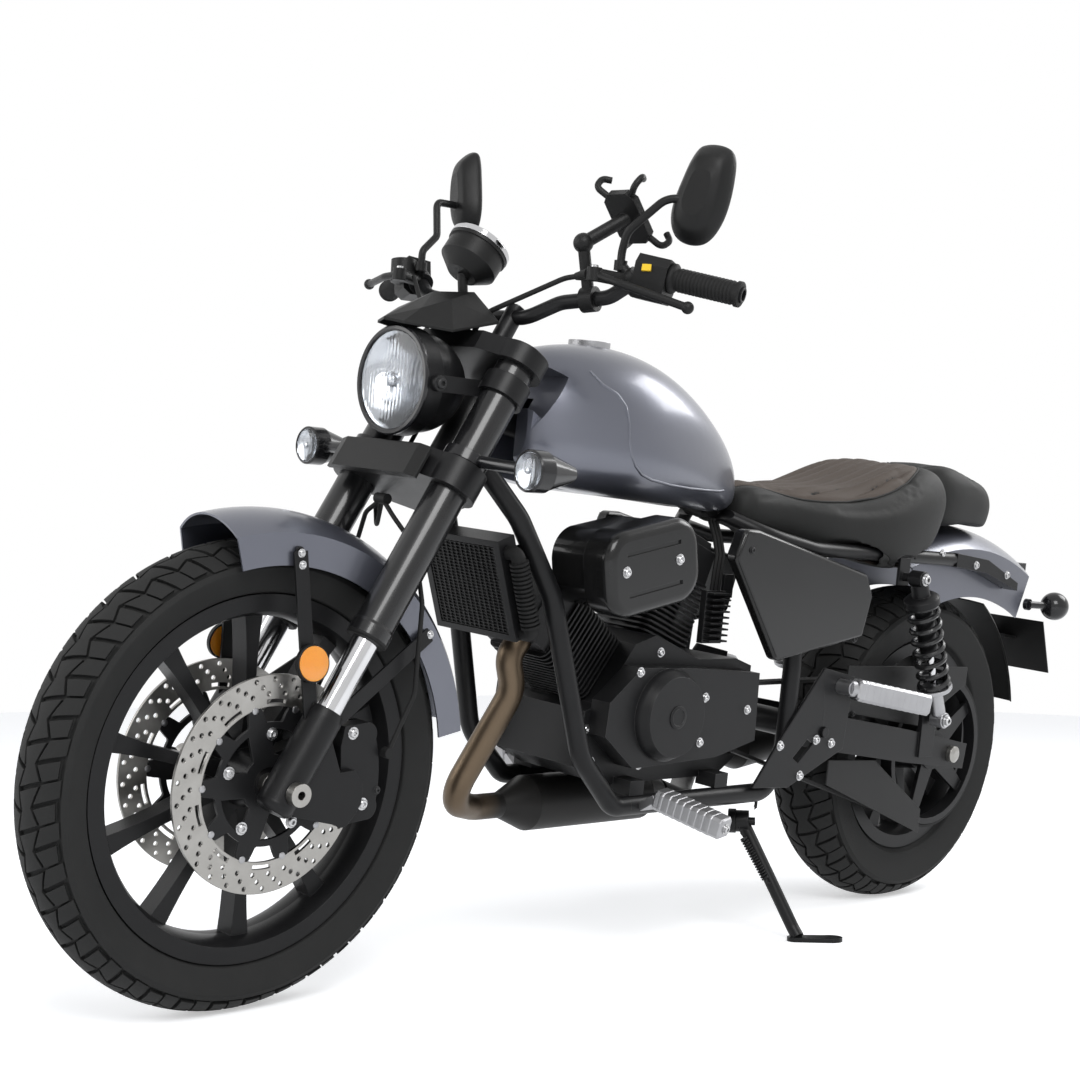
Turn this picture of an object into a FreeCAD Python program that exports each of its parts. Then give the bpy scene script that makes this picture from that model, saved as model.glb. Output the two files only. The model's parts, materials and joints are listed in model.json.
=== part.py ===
# Cruiser motorcycle with a V-twin, parked on its side stand. Millimetres.
# X points forward, Y to the rider's left, Z up. Every piece is drawn on an upright bike whose
# origin is under the rear axle, and the whole bike then leans over onto the stand.

import FreeCAD, Part
import math
import os
import re
import Sketcher
from FreeCAD import Placement, Rotation, Vector

doc = FreeCAD.newDocument("Cruiser")

sizes = {
    # Stance and steering
    "wheelbase": 1555, "lean_deg": 7.6, "rake_deg": 30, "fork_offset": 50, "leg_y": 105,
    "seat_gap": 0.3, "run_gap": 0.1, "overrun": 5,
    # Front wheel
    "front_tyre_r": 331, "front_tyre_half": 57, "front_bead_r": 243, "front_flange_r": 258,
    "front_shoulder_half": 42, "front_shoulder_drop": 15, "front_bead_half": 30,
    "front_rim_half": 40, "rim_lip": 6, "rim_skin": 9, "spoke_count": 10, "spoke_root": 15,
    "spoke_tip": 10, "spoke_thick": 34, "front_hub_r": 42, "front_hub_half": 65.2,
    "front_axle_r": 10, "front_axle_bore_r": 6, "front_spin_deg": -15, "disc_bolt_count": 5,
    # Front brake
    "disc_r": 152.5, "disc_inner_r": 108, "disc_thick": 5, "disc_y": 68,
    "caliper_long": 140, "caliper_deep": 62,
    "caliper_gap": 1.5, "caliper_angle_deg": 174,
    # Rear wheel
    "rear_tyre_r": 311, "rear_tyre_half": 75, "rear_bead_r": 190.5, "rear_flange_r": 206,
    "rear_shoulder_half": 58, "rear_shoulder_drop": 21, "rear_bead_half": 43,
    "rear_rim_half": 54, "rear_spoke_root": 18, "rear_spoke_tip": 13, "rear_spoke_thick": 46,
    "rear_hub_r": 52, "rear_hub_half": 78, "rear_axle_r": 11,
    "pulley_r": 146, "pulley_y": 100, "pulley_half": 12.5, "pulley_web": 8, "pulley_spokes": 5,
    "belt_thick": 6, "belt_half": 10.5, "belt_gap": 1.2, "front_pulley_r": 48,
    "rear_disc_r": 130, "rear_disc_y": 80.8,
    # Fork, heights along the leg above the front axle
    "fork_tube_r": 29, "stanchion_r": 20, "fork_tube_low": 238, "fork_tube_top": 715,
    "stanchion_low": 20, "foot_top": 122, "foot_r": 27, "foot_low": 34, "lower_clamp_low": 480,
    "lower_clamp_thick": 44, "upper_clamp_low": 694, "upper_clamp_thick": 30,
    "clamp_wall": 12, "stem_r": 15, "stem_top": 742, "bearing_r": 24, "bearing_thick": 14,
    "head_tube_r": 32, "head_tube_low": 534, "head_tube_top": 686,
    # Bars
    "bar_r": 11, "bar_bore_r": 8, "bar_ahead": 12, "bar_height": 781, "riser_y": 52,
    "riser_r": 15, "bar_flat_y": 83, "bar_bend_y": 205, "bar_bend_x": 1128, "bar_bend_z": 1051,
    "grip_inner_x": 1113, "grip_inner_y": 262, "grip_inner_z": 1089, "bar_end_x": 1057,
    "bar_end_y": 398, "bar_end_z": 1065, "bar_bend_r": 45, "grip_r": 17, "grip_long": 108,
    # Headlight and instrument
    "lamp_x": 1351, "lamp_z": 901, "lamp_r": 72.5, "lamp_shell_r": 80, "lamp_deep": 115,
    "gauge_x": 1206, "gauge_z": 1117, "gauge_r": 48, "gauge_deep": 58, "gauge_tilt_deg": 33.5,
    # Front fender
    "fender_r": 374, "fender_half": 74, "fender_edge_r": 301, "fender_skin": 3,
    "fender_from_deg": 75.5, "fender_to_deg": 170, "fender_corner_r": 346,
    # Frame
    "tube_r": 16, "rail_y": 130, "rail_z": 268, "pivot_x": 425, "pivot_z": 372,
    # Engine
    "case_half": 98, "crank_x": 815, "crank_z": 405, "front_tilt_deg": 54, "rear_tilt_deg": -20,
    "cylinder_half": 68, "fin_thick": 3.2, "fin_pitch": 9, "fin_count": 14, "barrel_r": 52,
    "deck_height": 120,
    # Fork details
    "axle_nut_r": 16, "axle_nut_long": 14, "spacer_r": 15, "collar_r": 32, "collar_long": 16,
    "stanchion_top": 430, "foot_arm_thick": 12, "foot_arm_back": 124, "caliper_in_y": 40,
    "caliper_centre_r": 132, "clamp_bump_x": 58,
    # Lamps, mirrors and small parts
    "lamp_ear_y": 83, "lamp_ear_thick": 6, "lens_dome": 12, "signal_x": 1302, "signal_y": 256,
    "signal_z": 791, "signal_r": 30, "signal_long": 82, "signal_stalk_r": 9,
    "visor_half": 60, "visor_skin": 4, "visor_tip_x": 1377, "visor_tip_z": 990,
    "visor_rear_x": 1192, "visor_rear_z": 1042,
    "mirror_x": 1078, "mirror_y": 316, "mirror_z": 1206, "mirror_half": 45, "mirror_tall": 142,
    "mirror_deep": 36, "mirror_stem_r": 6, "reflector_r": 24,
    "reflector_thick": 9, "lever_r": 6, "lever_ball_r": 9, "switch_r": 26, "switch_long": 50,
    "perch_long": 26, "stay_wide": 22, "stay_thick": 4,
    "stay_front_deg": 92, "stay_rear_deg": 141,
    # Tank, seats and panels
    "saddle_z": 860, "tank_front_x": 1130, "tank_rear_x": 608, "tank_top_z": 992,
    "tank_low_z": 762, "tank_half": 142, "tunnel_half": 36, "tunnel_gap": 12, "cap_r": 34,
    "cap_x": 954, "cap_thick": 9, "seat_front_x": 602, "seat_rear_x": 62, "seat_top_z": 858,
    "seat_low_z": 690, "seat_half": 156, "pillion_front_x": 56, "pillion_rear_x": -172,
    "pillion_half": 104, "pillion_top_z": 862, "pillion_low_z": 752,
    "panel_front_x": 737, "panel_rear_x": 345, "panel_top_z": 724,
    "panel_low_z": 503, "rear_fender_r": 542, "rear_fender_half": 104, "rear_fender_edge_r": 405,
    "rear_fender_from_deg": 66, "rear_fender_to_deg": 116, "rear_fender_skin": 3,
    # Frame tubes and swing arm
    "backbone_r": 22, "seat_rail_r": 13, "arm_inner_y": 118, "arm_outer_y": 146,
    "arm_tall": 62, "arm_nose": 32, "arm_tail": 52, "arm_cross_r": 24, "pivot_bolt_r": 9,
    "plate_thick": 6, "shock_top_x": 212, "shock_top_z": 652, "shock_low_x": 92,
    "shock_low_z": 386, "shock_y": 172, "spring_r": 33, "damper_r": 17, "shock_eye_r": 15,
    "shock_bolt_r": 8, "coil_count": 9,
    # Engine and its surroundings
    "cover_out_y": 162, "cover_r": 76, "head_half": 62,
    "cleaner_x": 965, "cleaner_z": 658, "cleaner_half_x": 103, "cleaner_half_z": 68,
    "cleaner_in_y": 72, "cleaner_out_y": 206, "radiator_x": 1151, "radiator_deep": 34,
    "radiator_half": 92, "radiator_low_z": 528, "radiator_top_z": 690, "pipe_r": 21,
    "muffler_r": 48, "lug_half": 16,
    # Stand, pegs and tail
    "stand_x": 565, "stand_y": 104, "stand_z": 212, "stand_r": 11, "stand_foot_x": 512,
    "stand_foot_y": 262, "stand_foot_half": 32, "stand_foot_thick": 7, "stand_pin_r": 7,
    "peg_x": 868, "peg_z": 288, "peg_long": 118, "peg_r": 15, "plate_wide": 200,
    "plate_tall": 118, "tail_x": -392, "tail_z": 505, "tail_signal_y": 134, "tail_signal_r": 29,
    "tail_signal_x": -348, "tail_root_x": -285, "tail_signal_z": 601,
    "cylinder_long": 62, "fin_corner": 16, "head_tall": 62, "rocker_tall": 18,
    "case_front": 168, "case_back": 236, "case_low": 108, "drive_x": 640, "drive_z": 402,
    "cleaner_tilt_deg": 12, "radiator_tilt_deg": 21, "muffler_long": 400,
    "rear_fender_x": -75, "rear_fender_z": 208, "rear_fender_corner_r": 500,
    "panel_in_y": 146.3, "panel_out_y": 172, "mudguard_r": 342, "mudguard_from_deg": 122,
    "mudguard_to_deg": 166, "plate_tilt_deg": 22, "rear_caliper_deg": 52,
    "swing_back": 62, "swing_inner_y": 66, "swing_stem_r": 43,
    "stand_axis_x": -0.588, "stand_axis_y": 0.802, "stand_axis_z": 0.098,
    # Bars, cables and the phone holder
    "bar_rise_x": 1150, "bar_rise_y": 128, "bar_rise_z": 1040, "lever_pivot_x": 1179,
    "lever_pivot_y": 220, "lever_pivot_z": 1078, "lever_tip_x": 1129, "lever_tip_y": 360,
    "lever_tip_z": 1038, "brake_tip_z": 1068, "mirror_foot_x": 1132, "mirror_foot_y": 225,
    "mirror_foot_z": 1104, "other_mirror_x": 1022, "other_mirror_y": 264,
    "other_mirror_z": 1234, "mirror_turn_deg": 20, "holder_x": 1108, "holder_y": 204,
    "holder_z": 1168, "holder_half": 30, "holder_tall": 42, "holder_r": 5, "hose_r": 3.5,
    "cable_r": 4, "boot_r": 8, "clamp_cover_half": 102, "clamp_cover_tall": 50,
    "bellows_r": 15, "bellows_count": 16,
}

sheet = doc.addObject("Spreadsheet::Sheet", "Sizes")
for row, (name, number) in enumerate(sizes.items(), start=1):
    sheet.set("A%d" % row, name)
    sheet.set("B%d" % row, str(number))
    sheet.setAlias("B%d" % row, name)
doc.recompute()


class SheetReader:
    """Reads a named size from the sheet."""

    def __getattr__(self, name):
        return float(sheet.get(name))


d = SheetReader()
word = re.compile(r"\b[a-z][a-z_0-9]*\b")


def bind(text):
    """Writes an expression on sheet sizes the way a property of another object needs it."""
    return word.sub(lambda m: "Sizes." + m.group(0) if m.group(0) in sizes else m.group(0), text)


def number_of(text):
    return float(sheet.evalExpression(bind(text)))


# Sketches

def new_body(label):
    body = doc.addObject("PartDesign::Body", label)
    body.Label = label
    return body


def new_sketch(body, role="XY_Plane", lift=None):
    plane = next(f for f in body.Origin.OriginFeatures if f.Role == role)
    sketch = body.newObject("Sketcher::SketchObject", body.Name + "_sketch")
    sketch.AttachmentSupport = (plane, [""])
    sketch.MapMode = "FlatFace"
    if lift:
        sketch.setExpression("AttachmentOffset.Base.z", bind(lift))
    return sketch


def locate(sketch, geometry, vertex, x, y):
    """Ties one sketch point to its two coordinates."""
    for kind, text, axis in (("DistanceX", x, -2), ("DistanceY", y, -1)):
        if number_of(text) == 0:
            sketch.addConstraint(Sketcher.Constraint("PointOnObject", geometry, vertex, axis))
            continue
        index = sketch.addConstraint(
            Sketcher.Constraint(kind, -1, 1, geometry, vertex, number_of(text)))
        sketch.setExpression("Constraints[%d]" % index, bind(text))


def draw_circle(sketch, x, y, radius):
    centre = Vector(number_of(x), number_of(y), 0)
    geometry = sketch.addGeometry(Part.Circle(centre, Vector(0, 0, 1), number_of(radius)), False)
    locate(sketch, geometry, 3, x, y)
    index = sketch.addConstraint(Sketcher.Constraint("Radius", geometry, number_of(radius)))
    sketch.setExpression("Constraints[%d]" % index, bind(radius))


def draw_outline(sketch, corners):
    """Closed outline; a corner with four entries is reached by an arc through its last two."""
    spots = [Vector(number_of(c[0]), number_of(c[1]), 0) for c in corners]
    ends = []
    for i, corner in enumerate(corners):
        start, end = spots[i - 1], spots[i]
        if len(corner) == 2:
            geometry = sketch.addGeometry(Part.LineSegment(start, end), False)
            ends.append((geometry, 1, 2))
            continue
        via = Vector(number_of(corner[2]), number_of(corner[3]), 0)
        geometry = sketch.addGeometry(Part.Arc(start, via, end), False)
        turned = sketch.getPoint(geometry, 1).distanceToPoint(start) > 1e-6
        ends.append((geometry, 2, 1) if turned else (geometry, 1, 2))
        mark = sketch.addGeometry(Part.Point(via), True)
        locate(sketch, mark, 1, corner[2], corner[3])
        sketch.addConstraint(Sketcher.Constraint("PointOnObject", mark, 1, geometry))
    for i, corner in enumerate(corners):
        geometry, _, last = ends[i]
        following, first, _ = ends[(i + 1) % len(corners)]
        sketch.addConstraint(Sketcher.Constraint("Coincident", geometry, last, following, first))
        locate(sketch, geometry, last, corner[0], corner[1])


def soft_rectangle(half_x, half_y, corner):
    """Outline of a rectangle about the origin with rounded corners."""
    long, wide = "(%s)" % half_x, "(%s)" % half_y
    x_in, y_in = "(%s - %s)" % (half_x, corner), "(%s - %s)" % (half_y, corner)
    x_via, y_via = "(%s - %s * 0.293)" % (half_x, corner), "(%s - %s * 0.293)" % (half_y, corner)
    return [
        ("-" + long, "-" + y_in), ("-" + x_in, "-" + wide, "-" + x_via, "-" + y_via),
        (x_in, "-" + wide), (long, "-" + y_in, x_via, "-" + y_via),
        (long, y_in), (x_in, wide, x_via, y_via),
        ("-" + x_in, wide), ("-" + long, y_in, "-" + x_via, y_via),
    ]


def pad(body, sketch, length, side="Symmetric", reverse=False):
    feature = body.newObject("PartDesign::Pad", body.Name + "_pad")
    feature.Profile = sketch
    feature.SideType = side
    feature.Reversed = reverse
    feature.setExpression("Length", bind(length))
    return feature


def through_cut(body, sketch):
    feature = body.newObject("PartDesign::Pocket", body.Name + "_pocket")
    feature.Profile = sketch
    feature.Type = "ThroughAll"
    feature.SideType = "Symmetric"
    return feature


def revolve(body, sketch, axis="V_Axis"):
    feature = body.newObject("PartDesign::Revolution", body.Name + "_turn")
    feature.Profile = sketch
    feature.ReferenceAxis = (sketch, [axis])
    return feature


def spread(body, feature, count, role="Z_Axis"):
    """Repeats a feature round the body's axle."""
    pattern = body.newObject("PartDesign::PolarPattern", body.Name + "_pattern")
    pattern.Originals = [feature]
    pattern.Axis = (next(f for f in body.Origin.OriginFeatures if f.Role == role), [""])
    pattern.setExpression("Occurrences", bind(count))
    body.Tip = pattern
    return pattern


# Placements

along_y = Rotation(Vector(1, 0, 0), -90)
front_axle = Vector(d.wheelbase, 0, d.front_tyre_r)
rear_axle = Vector(0, 0, d.rear_tyre_r)
fork = Placement(front_axle, Rotation(Vector(0, 1, 0), -d.rake_deg))
park = Placement(Vector(), Rotation(Vector(1, 0, 0), -d.lean_deg))
pieces = []


def keep(thing, label, place=Placement()):
    """Names a finished piece and stands it on the leaning bike."""
    thing.Label = label
    thing.Placement = park.multiply(place)
    pieces.append(thing)
    return thing


def feature(label, shape, place=Placement()):
    thing = doc.addObject("Part::Feature", label)
    thing.Shape = shape
    return keep(thing, label, place)


def in_fork(x, y, height):
    """A point given ahead of and along the fork leg, on the upright bike."""
    return fork.multVec(Vector(x, y, height))


def mirrored(shape):
    return shape.mirror(Vector(), Vector(0, 1, 0))


def both_sides(shape):
    return Part.makeCompound([shape, mirrored(shape)])


# Shapes made in code

def path_wire(points, radius):
    """Straight runs joined by tangent arcs."""
    edges = []
    start = points[0]
    for before, corner, after in zip(points, points[1:], points[2:]):
        into = (corner - before).normalize()
        out = (after - corner).normalize()
        turn = into.getAngle(out)
        room = 0.45 * min(corner.distanceToPoint(before), corner.distanceToPoint(after))
        reach = min(radius * math.tan(turn / 2), room)
        arc_radius = reach / math.tan(turn / 2)
        bend_start = corner - into * reach
        bend_end = corner + out * reach
        inward = (out - into).normalize()
        middle = corner + inward * (math.hypot(reach, arc_radius) - arc_radius)
        edges.append(Part.LineSegment(start, bend_start).toShape())
        edges.append(Part.Arc(bend_start, middle, bend_end).toShape())
        start = bend_end
    edges.append(Part.LineSegment(start, points[-1]).toShape())
    return Part.Wire(edges)


def tube(points, radius, bend, bore=0):
    path = path_wire(points, bend)
    direction = points[1] - points[0]
    outer = Part.Wire(Part.makeCircle(radius, points[0], direction))
    solid = path.makePipeShell([outer], True, False)
    if bore:
        inner = Part.Wire(Part.makeCircle(bore, points[0], direction))
        solid = solid.cut(path.makePipeShell([inner], True, False))
    return solid


def rod(start, end, radius):
    return Part.makeCylinder(radius, start.distanceToPoint(end), start, end - start)


def smooth_ring(points):
    curve = Part.BSplineCurve()
    curve.interpolate(Points=points, PeriodicFlag=True)
    return Part.Wire(curve.toShape())


def plate(points, thickness):
    """Flat polygon given by corner points, thickened along the vector."""
    return Part.Face(Part.makePolygon(points + [points[0]])).extrude(thickness)


def block(low, high):
    span = high - low
    return Part.makeBox(span.x, span.y, span.z, low)


# Wheels

def make_tyre(label, end, place):
    """Tyre section turned round the axle; it fills the rim well and stands proud of the flanges."""
    body = new_body(label)
    section = new_sketch(body, "XZ_Plane")
    low = end + "_bead_r + seat_gap"
    flange = end + "_flange_r + seat_gap"
    inner = end + "_bead_half - seat_gap"
    outer = end + "_rim_half - rim_lip - seat_gap"
    shoulder = "%s_tyre_r - %s_shoulder_drop" % (end, end)
    wide = "(%s_flange_r * 0.45 + %s_tyre_r * 0.55)" % (end, end)
    draw_outline(section, [
        (low, "-(" + inner + ")"),
        (flange, "-(" + outer + ")"),
        (shoulder, "-%s_shoulder_half" % end, wide, "-%s_tyre_half" % end),
        (shoulder, "%s_shoulder_half" % end, "%s_tyre_r" % end, "0"),
        (flange, outer, wide, "%s_tyre_half" % end),
        (low, inner),
    ])
    revolve(body, section)
    return keep(body, label, place)


def make_wheel(label, end, root, tip, thick, bore, place):
    """Cast wheel: rim channel and hub turned, spokes padded and repeated."""
    body = new_body(label)
    rim = new_sketch(body, "XZ_Plane")
    lip = "%s_rim_half - rim_lip" % end
    draw_outline(rim, [
        ("%s_flange_r" % end, "-%s_rim_half" % end),
        ("%s_flange_r" % end, "-(%s)" % lip),
        ("%s_bead_r" % end, "-%s_bead_half" % end),
        ("%s_bead_r" % end, "%s_bead_half" % end),
        ("%s_flange_r" % end, lip),
        ("%s_flange_r" % end, "%s_rim_half" % end),
        ("%s_bead_r - rim_skin" % end, "%s_rim_half" % end),
        ("%s_bead_r - rim_skin * 2" % end, "0", "%s_bead_r - rim_skin * 1.8" % end,
         "%s_rim_half * 0.6" % end),
        ("%s_bead_r - rim_skin" % end, "-%s_rim_half" % end, "%s_bead_r - rim_skin * 1.8" % end,
         "-%s_rim_half * 0.6" % end),
    ])
    revolve(body, rim)
    spoke = new_sketch(body)
    reach = "%s_bead_r - rim_skin * 1.4" % end
    start = "%s_hub_r * 0.8" % end
    draw_outline(spoke, [
        (start, "-%s" % root),
        (reach, "-%s * 1.5" % tip, "(%s_hub_r + %s_bead_r) / 2" % (end, end), "-%s * 0.85" % tip),
        (reach, "%s * 1.5" % tip),
        (start, root, "(%s_hub_r + %s_bead_r) / 2" % (end, end), "%s * 0.85" % tip),
    ])
    spread(body, pad(body, spoke, thick), "spoke_count")
    hub = new_sketch(body, "XZ_Plane")
    draw_outline(hub, [
        (bore, "-%s_hub_half" % end),
        ("%s_hub_r * 0.8" % end, "-%s_hub_half" % end),
        ("%s_hub_r" % end, "-%s * 0.6" % thick),
        ("%s_hub_r" % end, "%s * 0.6" % thick),
        ("%s_hub_r * 0.8" % end, "%s_hub_half" % end),
        (bore, "%s_hub_half" % end),
    ])
    body.Tip = revolve(body, hub)
    hollow = new_sketch(body)
    draw_circle(hollow, "0", "0", bore)
    body.Tip = through_cut(body, hollow)
    return keep(body, label, place)


def axle_place(centre, spin_deg=0):
    return Placement(centre, along_y.multiply(Rotation(Vector(0, 0, 1), spin_deg)))


make_tyre("front_tyre", "front", axle_place(front_axle))
make_wheel("front_wheel", "front", "spoke_root", "spoke_tip", "spoke_thick",
           "front_axle_r + run_gap", axle_place(front_axle, d.front_spin_deg))
make_tyre("rear_tyre", "rear", axle_place(rear_axle))
make_wheel("rear_wheel", "rear", "rear_spoke_root", "rear_spoke_tip", "rear_spoke_thick",
           "rear_axle_r + run_gap", axle_place(rear_axle))


def make_disc(name, outer, inner, bolt_bore):
    """Brake ring carried by a spider that bolts against the hub."""
    body = new_body(name)
    ring = new_sketch(body)
    draw_circle(ring, "0", "0", outer)
    draw_circle(ring, "0", "0", inner)
    body.Tip = pad(body, ring, "disc_thick")
    arm = new_sketch(body)
    wide = "disc_thick * 3"
    draw_outline(arm, [
        ("%s * 1.3" % bolt_bore, "-%s" % wide), ("%s + disc_thick * 0.6" % inner, "-%s * 0.7" % wide),
        ("%s + disc_thick * 0.6" % inner, "%s * 0.7" % wide), ("%s * 1.3" % bolt_bore, wide),
    ])
    spread(body, pad(body, arm, "disc_thick * 0.9"), "disc_bolt_count * 2")
    spider = new_sketch(body)
    draw_circle(spider, "0", "0", "%s * 0.66" % inner)
    draw_circle(spider, "0", "0", bolt_bore)
    body.Tip = pad(body, spider, "disc_thick")
    return body


def disc_place(axle, y):
    return Placement(axle + Vector(0, y, 0), along_y)


def pair(label, side, place=Placement()):
    """A piece and its mirror image on the other side of the bike, in one node."""
    other = doc.addObject("Part::Mirroring", label + "_other")
    other.Source = side
    other.Normal = Vector(0, 1, 0)
    both = doc.addObject("Part::Compound", label)
    both.Links = [side, other]
    return keep(both, label, place)


front_disc = make_disc("front_disc_side", "disc_r", "disc_inner_r", "front_hub_r * 0.55")
front_disc.Placement = disc_place(front_axle, d.disc_y)
pair("front_discs", front_disc)
rear_disc = make_disc("rear_disc", "rear_disc_r", "disc_inner_r", "rear_hub_r * 0.55")
keep(rear_disc, "rear_disc", disc_place(rear_axle, -d.rear_disc_y))


# Fork and clamps, drawn with the leg upright: X ahead of the leg, Z up along it

leg_place = Placement(Vector(0, d.leg_y, 0), Rotation())


def make_fork_tube():
    body = new_body("fork_tube_side")
    section = new_sketch(body, "XZ_Plane")
    bore = "stanchion_r + seat_gap"
    draw_outline(section, [
        (bore, "fork_tube_low"), ("collar_r - seat_gap * 4", "fork_tube_low"),
        ("collar_r - seat_gap * 4", "fork_tube_low + collar_long"),
        ("fork_tube_r", "fork_tube_low + collar_long * 1.3"),
        ("fork_tube_r", "fork_tube_top - collar_long * 0.3"),
        ("fork_tube_r - collar_long * 0.3", "fork_tube_top"),
        ("0", "fork_tube_top"), ("0", "stanchion_top + collar_long * 2"),
        (bore, "stanchion_top + collar_long * 2"),
    ])
    revolve(body, section)
    body.Placement = leg_place
    return pair("fork_tubes", body, fork)


def make_stanchion():
    body = new_body("stanchion_side")
    section = new_sketch(body)
    draw_circle(section, "0", "0", "stanchion_r")
    pad(body, section, "stanchion_top - stanchion_low", "One side")
    body.Placement = leg_place.multiply(Placement(Vector(0, 0, d.stanchion_low), Rotation()))
    return pair("fork_stanchions", body, fork)


def make_fork_foot():
    """Casting at the wheel: socket for the stanchion, axle clamp and an arm for the caliper."""
    body = new_body("fork_foot_side")
    leg = new_sketch(body, "XZ_Plane")
    bore = "stanchion_r + seat_gap"
    draw_outline(leg, [
        ("0", "-foot_low"), ("foot_r * 0.7", "-foot_low"),
        ("foot_r", "-foot_low * 0.6", "foot_r * 0.93", "-foot_low * 0.86"),
        ("foot_r", "foot_top * 0.9"), ("foot_r * 0.88", "foot_top"), (bore, "foot_top"),
        (bore, "stanchion_low - seat_gap"), ("0", "stanchion_low - seat_gap"),
    ])
    revolve(body, leg)
    arm = new_sketch(body, "XZ_Plane")
    draw_outline(arm, [
        ("-foot_r * 0.7", "foot_top * 0.8"), ("-foot_arm_back * 0.55", "foot_top * 0.5"),
        ("-foot_arm_back * 0.72", "foot_top * 0.62"), ("-foot_arm_back * 0.9", "foot_top * 0.55"),
        ("-foot_arm_back", "foot_top * 0.1", "-foot_arm_back * 1.02", "foot_top * 0.32"),
        ("-foot_arm_back * 0.85", "-foot_top * 0.02", "-foot_arm_back * 0.95", "0"),
        ("-foot_r * 0.5", "-foot_low * 0.9"), ("-foot_r * 0.5", "foot_low * 0.4"),
        ("-foot_r * 0.8", "foot_low * 0.4"),
    ])
    body.Tip = pad(body, arm, "foot_arm_thick")
    hole = new_sketch(body, "XZ_Plane")
    draw_circle(hole, "0", "0", "front_axle_r + seat_gap")
    body.Tip = through_cut(body, hole)
    socket = new_sketch(body)
    draw_circle(socket, "0", "0", bore)
    cut = body.newObject("PartDesign::Pocket", "socket")
    cut.Profile = socket
    cut.Type = "Length"
    cut.Reversed = True
    cut.setExpression("Length", bind("foot_top + overrun"))
    socket.setExpression("AttachmentOffset.Base.z", bind("stanchion_low - seat_gap"))
    body.Tip = cut
    body.Placement = leg_place
    return pair("fork_feet", body, fork)


def make_clamp(label, low, thick, stem_bore):
    """Yoke plate across both legs, seen from above the leg; the legs pass through it."""
    body = new_body(label)
    plan = new_sketch(body)
    wall = "(fork_tube_r + clamp_wall)"
    draw_outline(plan, [
        (wall, "-leg_y", "0", "-leg_y - " + wall),
        ("clamp_bump_x", "-riser_y * 1.3"),
        ("clamp_bump_x", "riser_y * 1.3"),
        (wall, "leg_y"),
        ("-" + wall, "leg_y", "0", "leg_y + " + wall),
        ("-fork_offset - stem_r * 2", "stem_r * 1.2"),
        ("-fork_offset - stem_r * 2", "-stem_r * 1.2", "-fork_offset - stem_r * 2.5", "0"),
        ("-" + wall, "-leg_y"),
    ])
    body.Tip = pad(body, plan, thick, "One side")
    holes = new_sketch(body)
    draw_circle(holes, "0", "leg_y", "fork_tube_r + seat_gap")
    draw_circle(holes, "0", "-leg_y", "fork_tube_r + seat_gap")
    if stem_bore:
        draw_circle(holes, "-fork_offset", "0", stem_bore)
    body.Tip = through_cut(body, holes)
    lifted = fork.multiply(Placement(Vector(0, 0, number_of(low)), Rotation()))
    return body, lifted


def make_lower_clamp():
    """Lower yoke with the steering stem and its two bearing seats."""
    body, place = make_clamp("lower_clamp", "lower_clamp_low", "lower_clamp_thick", None)
    stem = new_sketch(body, "XZ_Plane")
    top = "stem_top - lower_clamp_low"
    low_race = "head_tube_low - lower_clamp_low + bearing_thick * 0.2"
    high_race = "head_tube_top - lower_clamp_low - bearing_thick * 1.2"
    draw_outline(stem, [
        ("-fork_offset", "lower_clamp_thick * 0.5"),
        ("-fork_offset + stem_r", "lower_clamp_thick * 0.5"),
        ("-fork_offset + stem_r", low_race),
        ("-fork_offset + bearing_r - seat_gap", low_race),
        ("-fork_offset + bearing_r - seat_gap", low_race + " + bearing_thick"),
        ("-fork_offset + stem_r", low_race + " + bearing_thick"),
        ("-fork_offset + stem_r", high_race),
        ("-fork_offset + bearing_r - seat_gap", high_race),
        ("-fork_offset + bearing_r - seat_gap", high_race + " + bearing_thick"),
        ("-fork_offset + stem_r", high_race + " + bearing_thick"),
        ("-fork_offset + stem_r", top),
        ("-fork_offset", top),
    ])
    axis = stem.addGeometry(Part.LineSegment(
        Vector(-d.fork_offset, 0, 0), Vector(-d.fork_offset, d.stem_top, 0)), True)
    locate(stem, axis, 1, "-fork_offset", "0")
    locate(stem, axis, 2, "-fork_offset", "stem_top")
    body.Tip = revolve(body, stem, "Axis0")
    return keep(body, "lower_clamp", place)


def make_upper_clamp():
    """Upper yoke that closes over the tubes, with the two risers that hold the handlebar."""
    body, place = make_clamp("upper_clamp", "upper_clamp_low", "upper_clamp_thick",
                             "stem_r + seat_gap")
    roof = new_sketch(body, lift="fork_tube_top + seat_gap - upper_clamp_low")
    for side in ("", "-"):
        draw_circle(roof, "0", side + "leg_y", "fork_tube_r + clamp_wall * 0.5")
    body.Tip = pad(body, roof, "upper_clamp_low + upper_clamp_thick * 1.1 - fork_tube_top", "One side")
    posts = new_sketch(body)
    for side in ("", "-"):
        draw_circle(posts, "bar_ahead", side + "riser_y", "riser_r")
    body.Tip = pad(body, posts, "bar_height + bar_r * 1.5 - upper_clamp_low", "One side")
    grip = new_sketch(body, "XZ_Plane")
    draw_circle(grip, "bar_ahead", "bar_height - upper_clamp_low", "bar_r + seat_gap")
    body.Tip = through_cut(body, grip)
    return keep(body, "upper_clamp", place)


make_fork_tube()
make_stanchion()
make_fork_foot()
make_lower_clamp()
make_upper_clamp()


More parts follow.
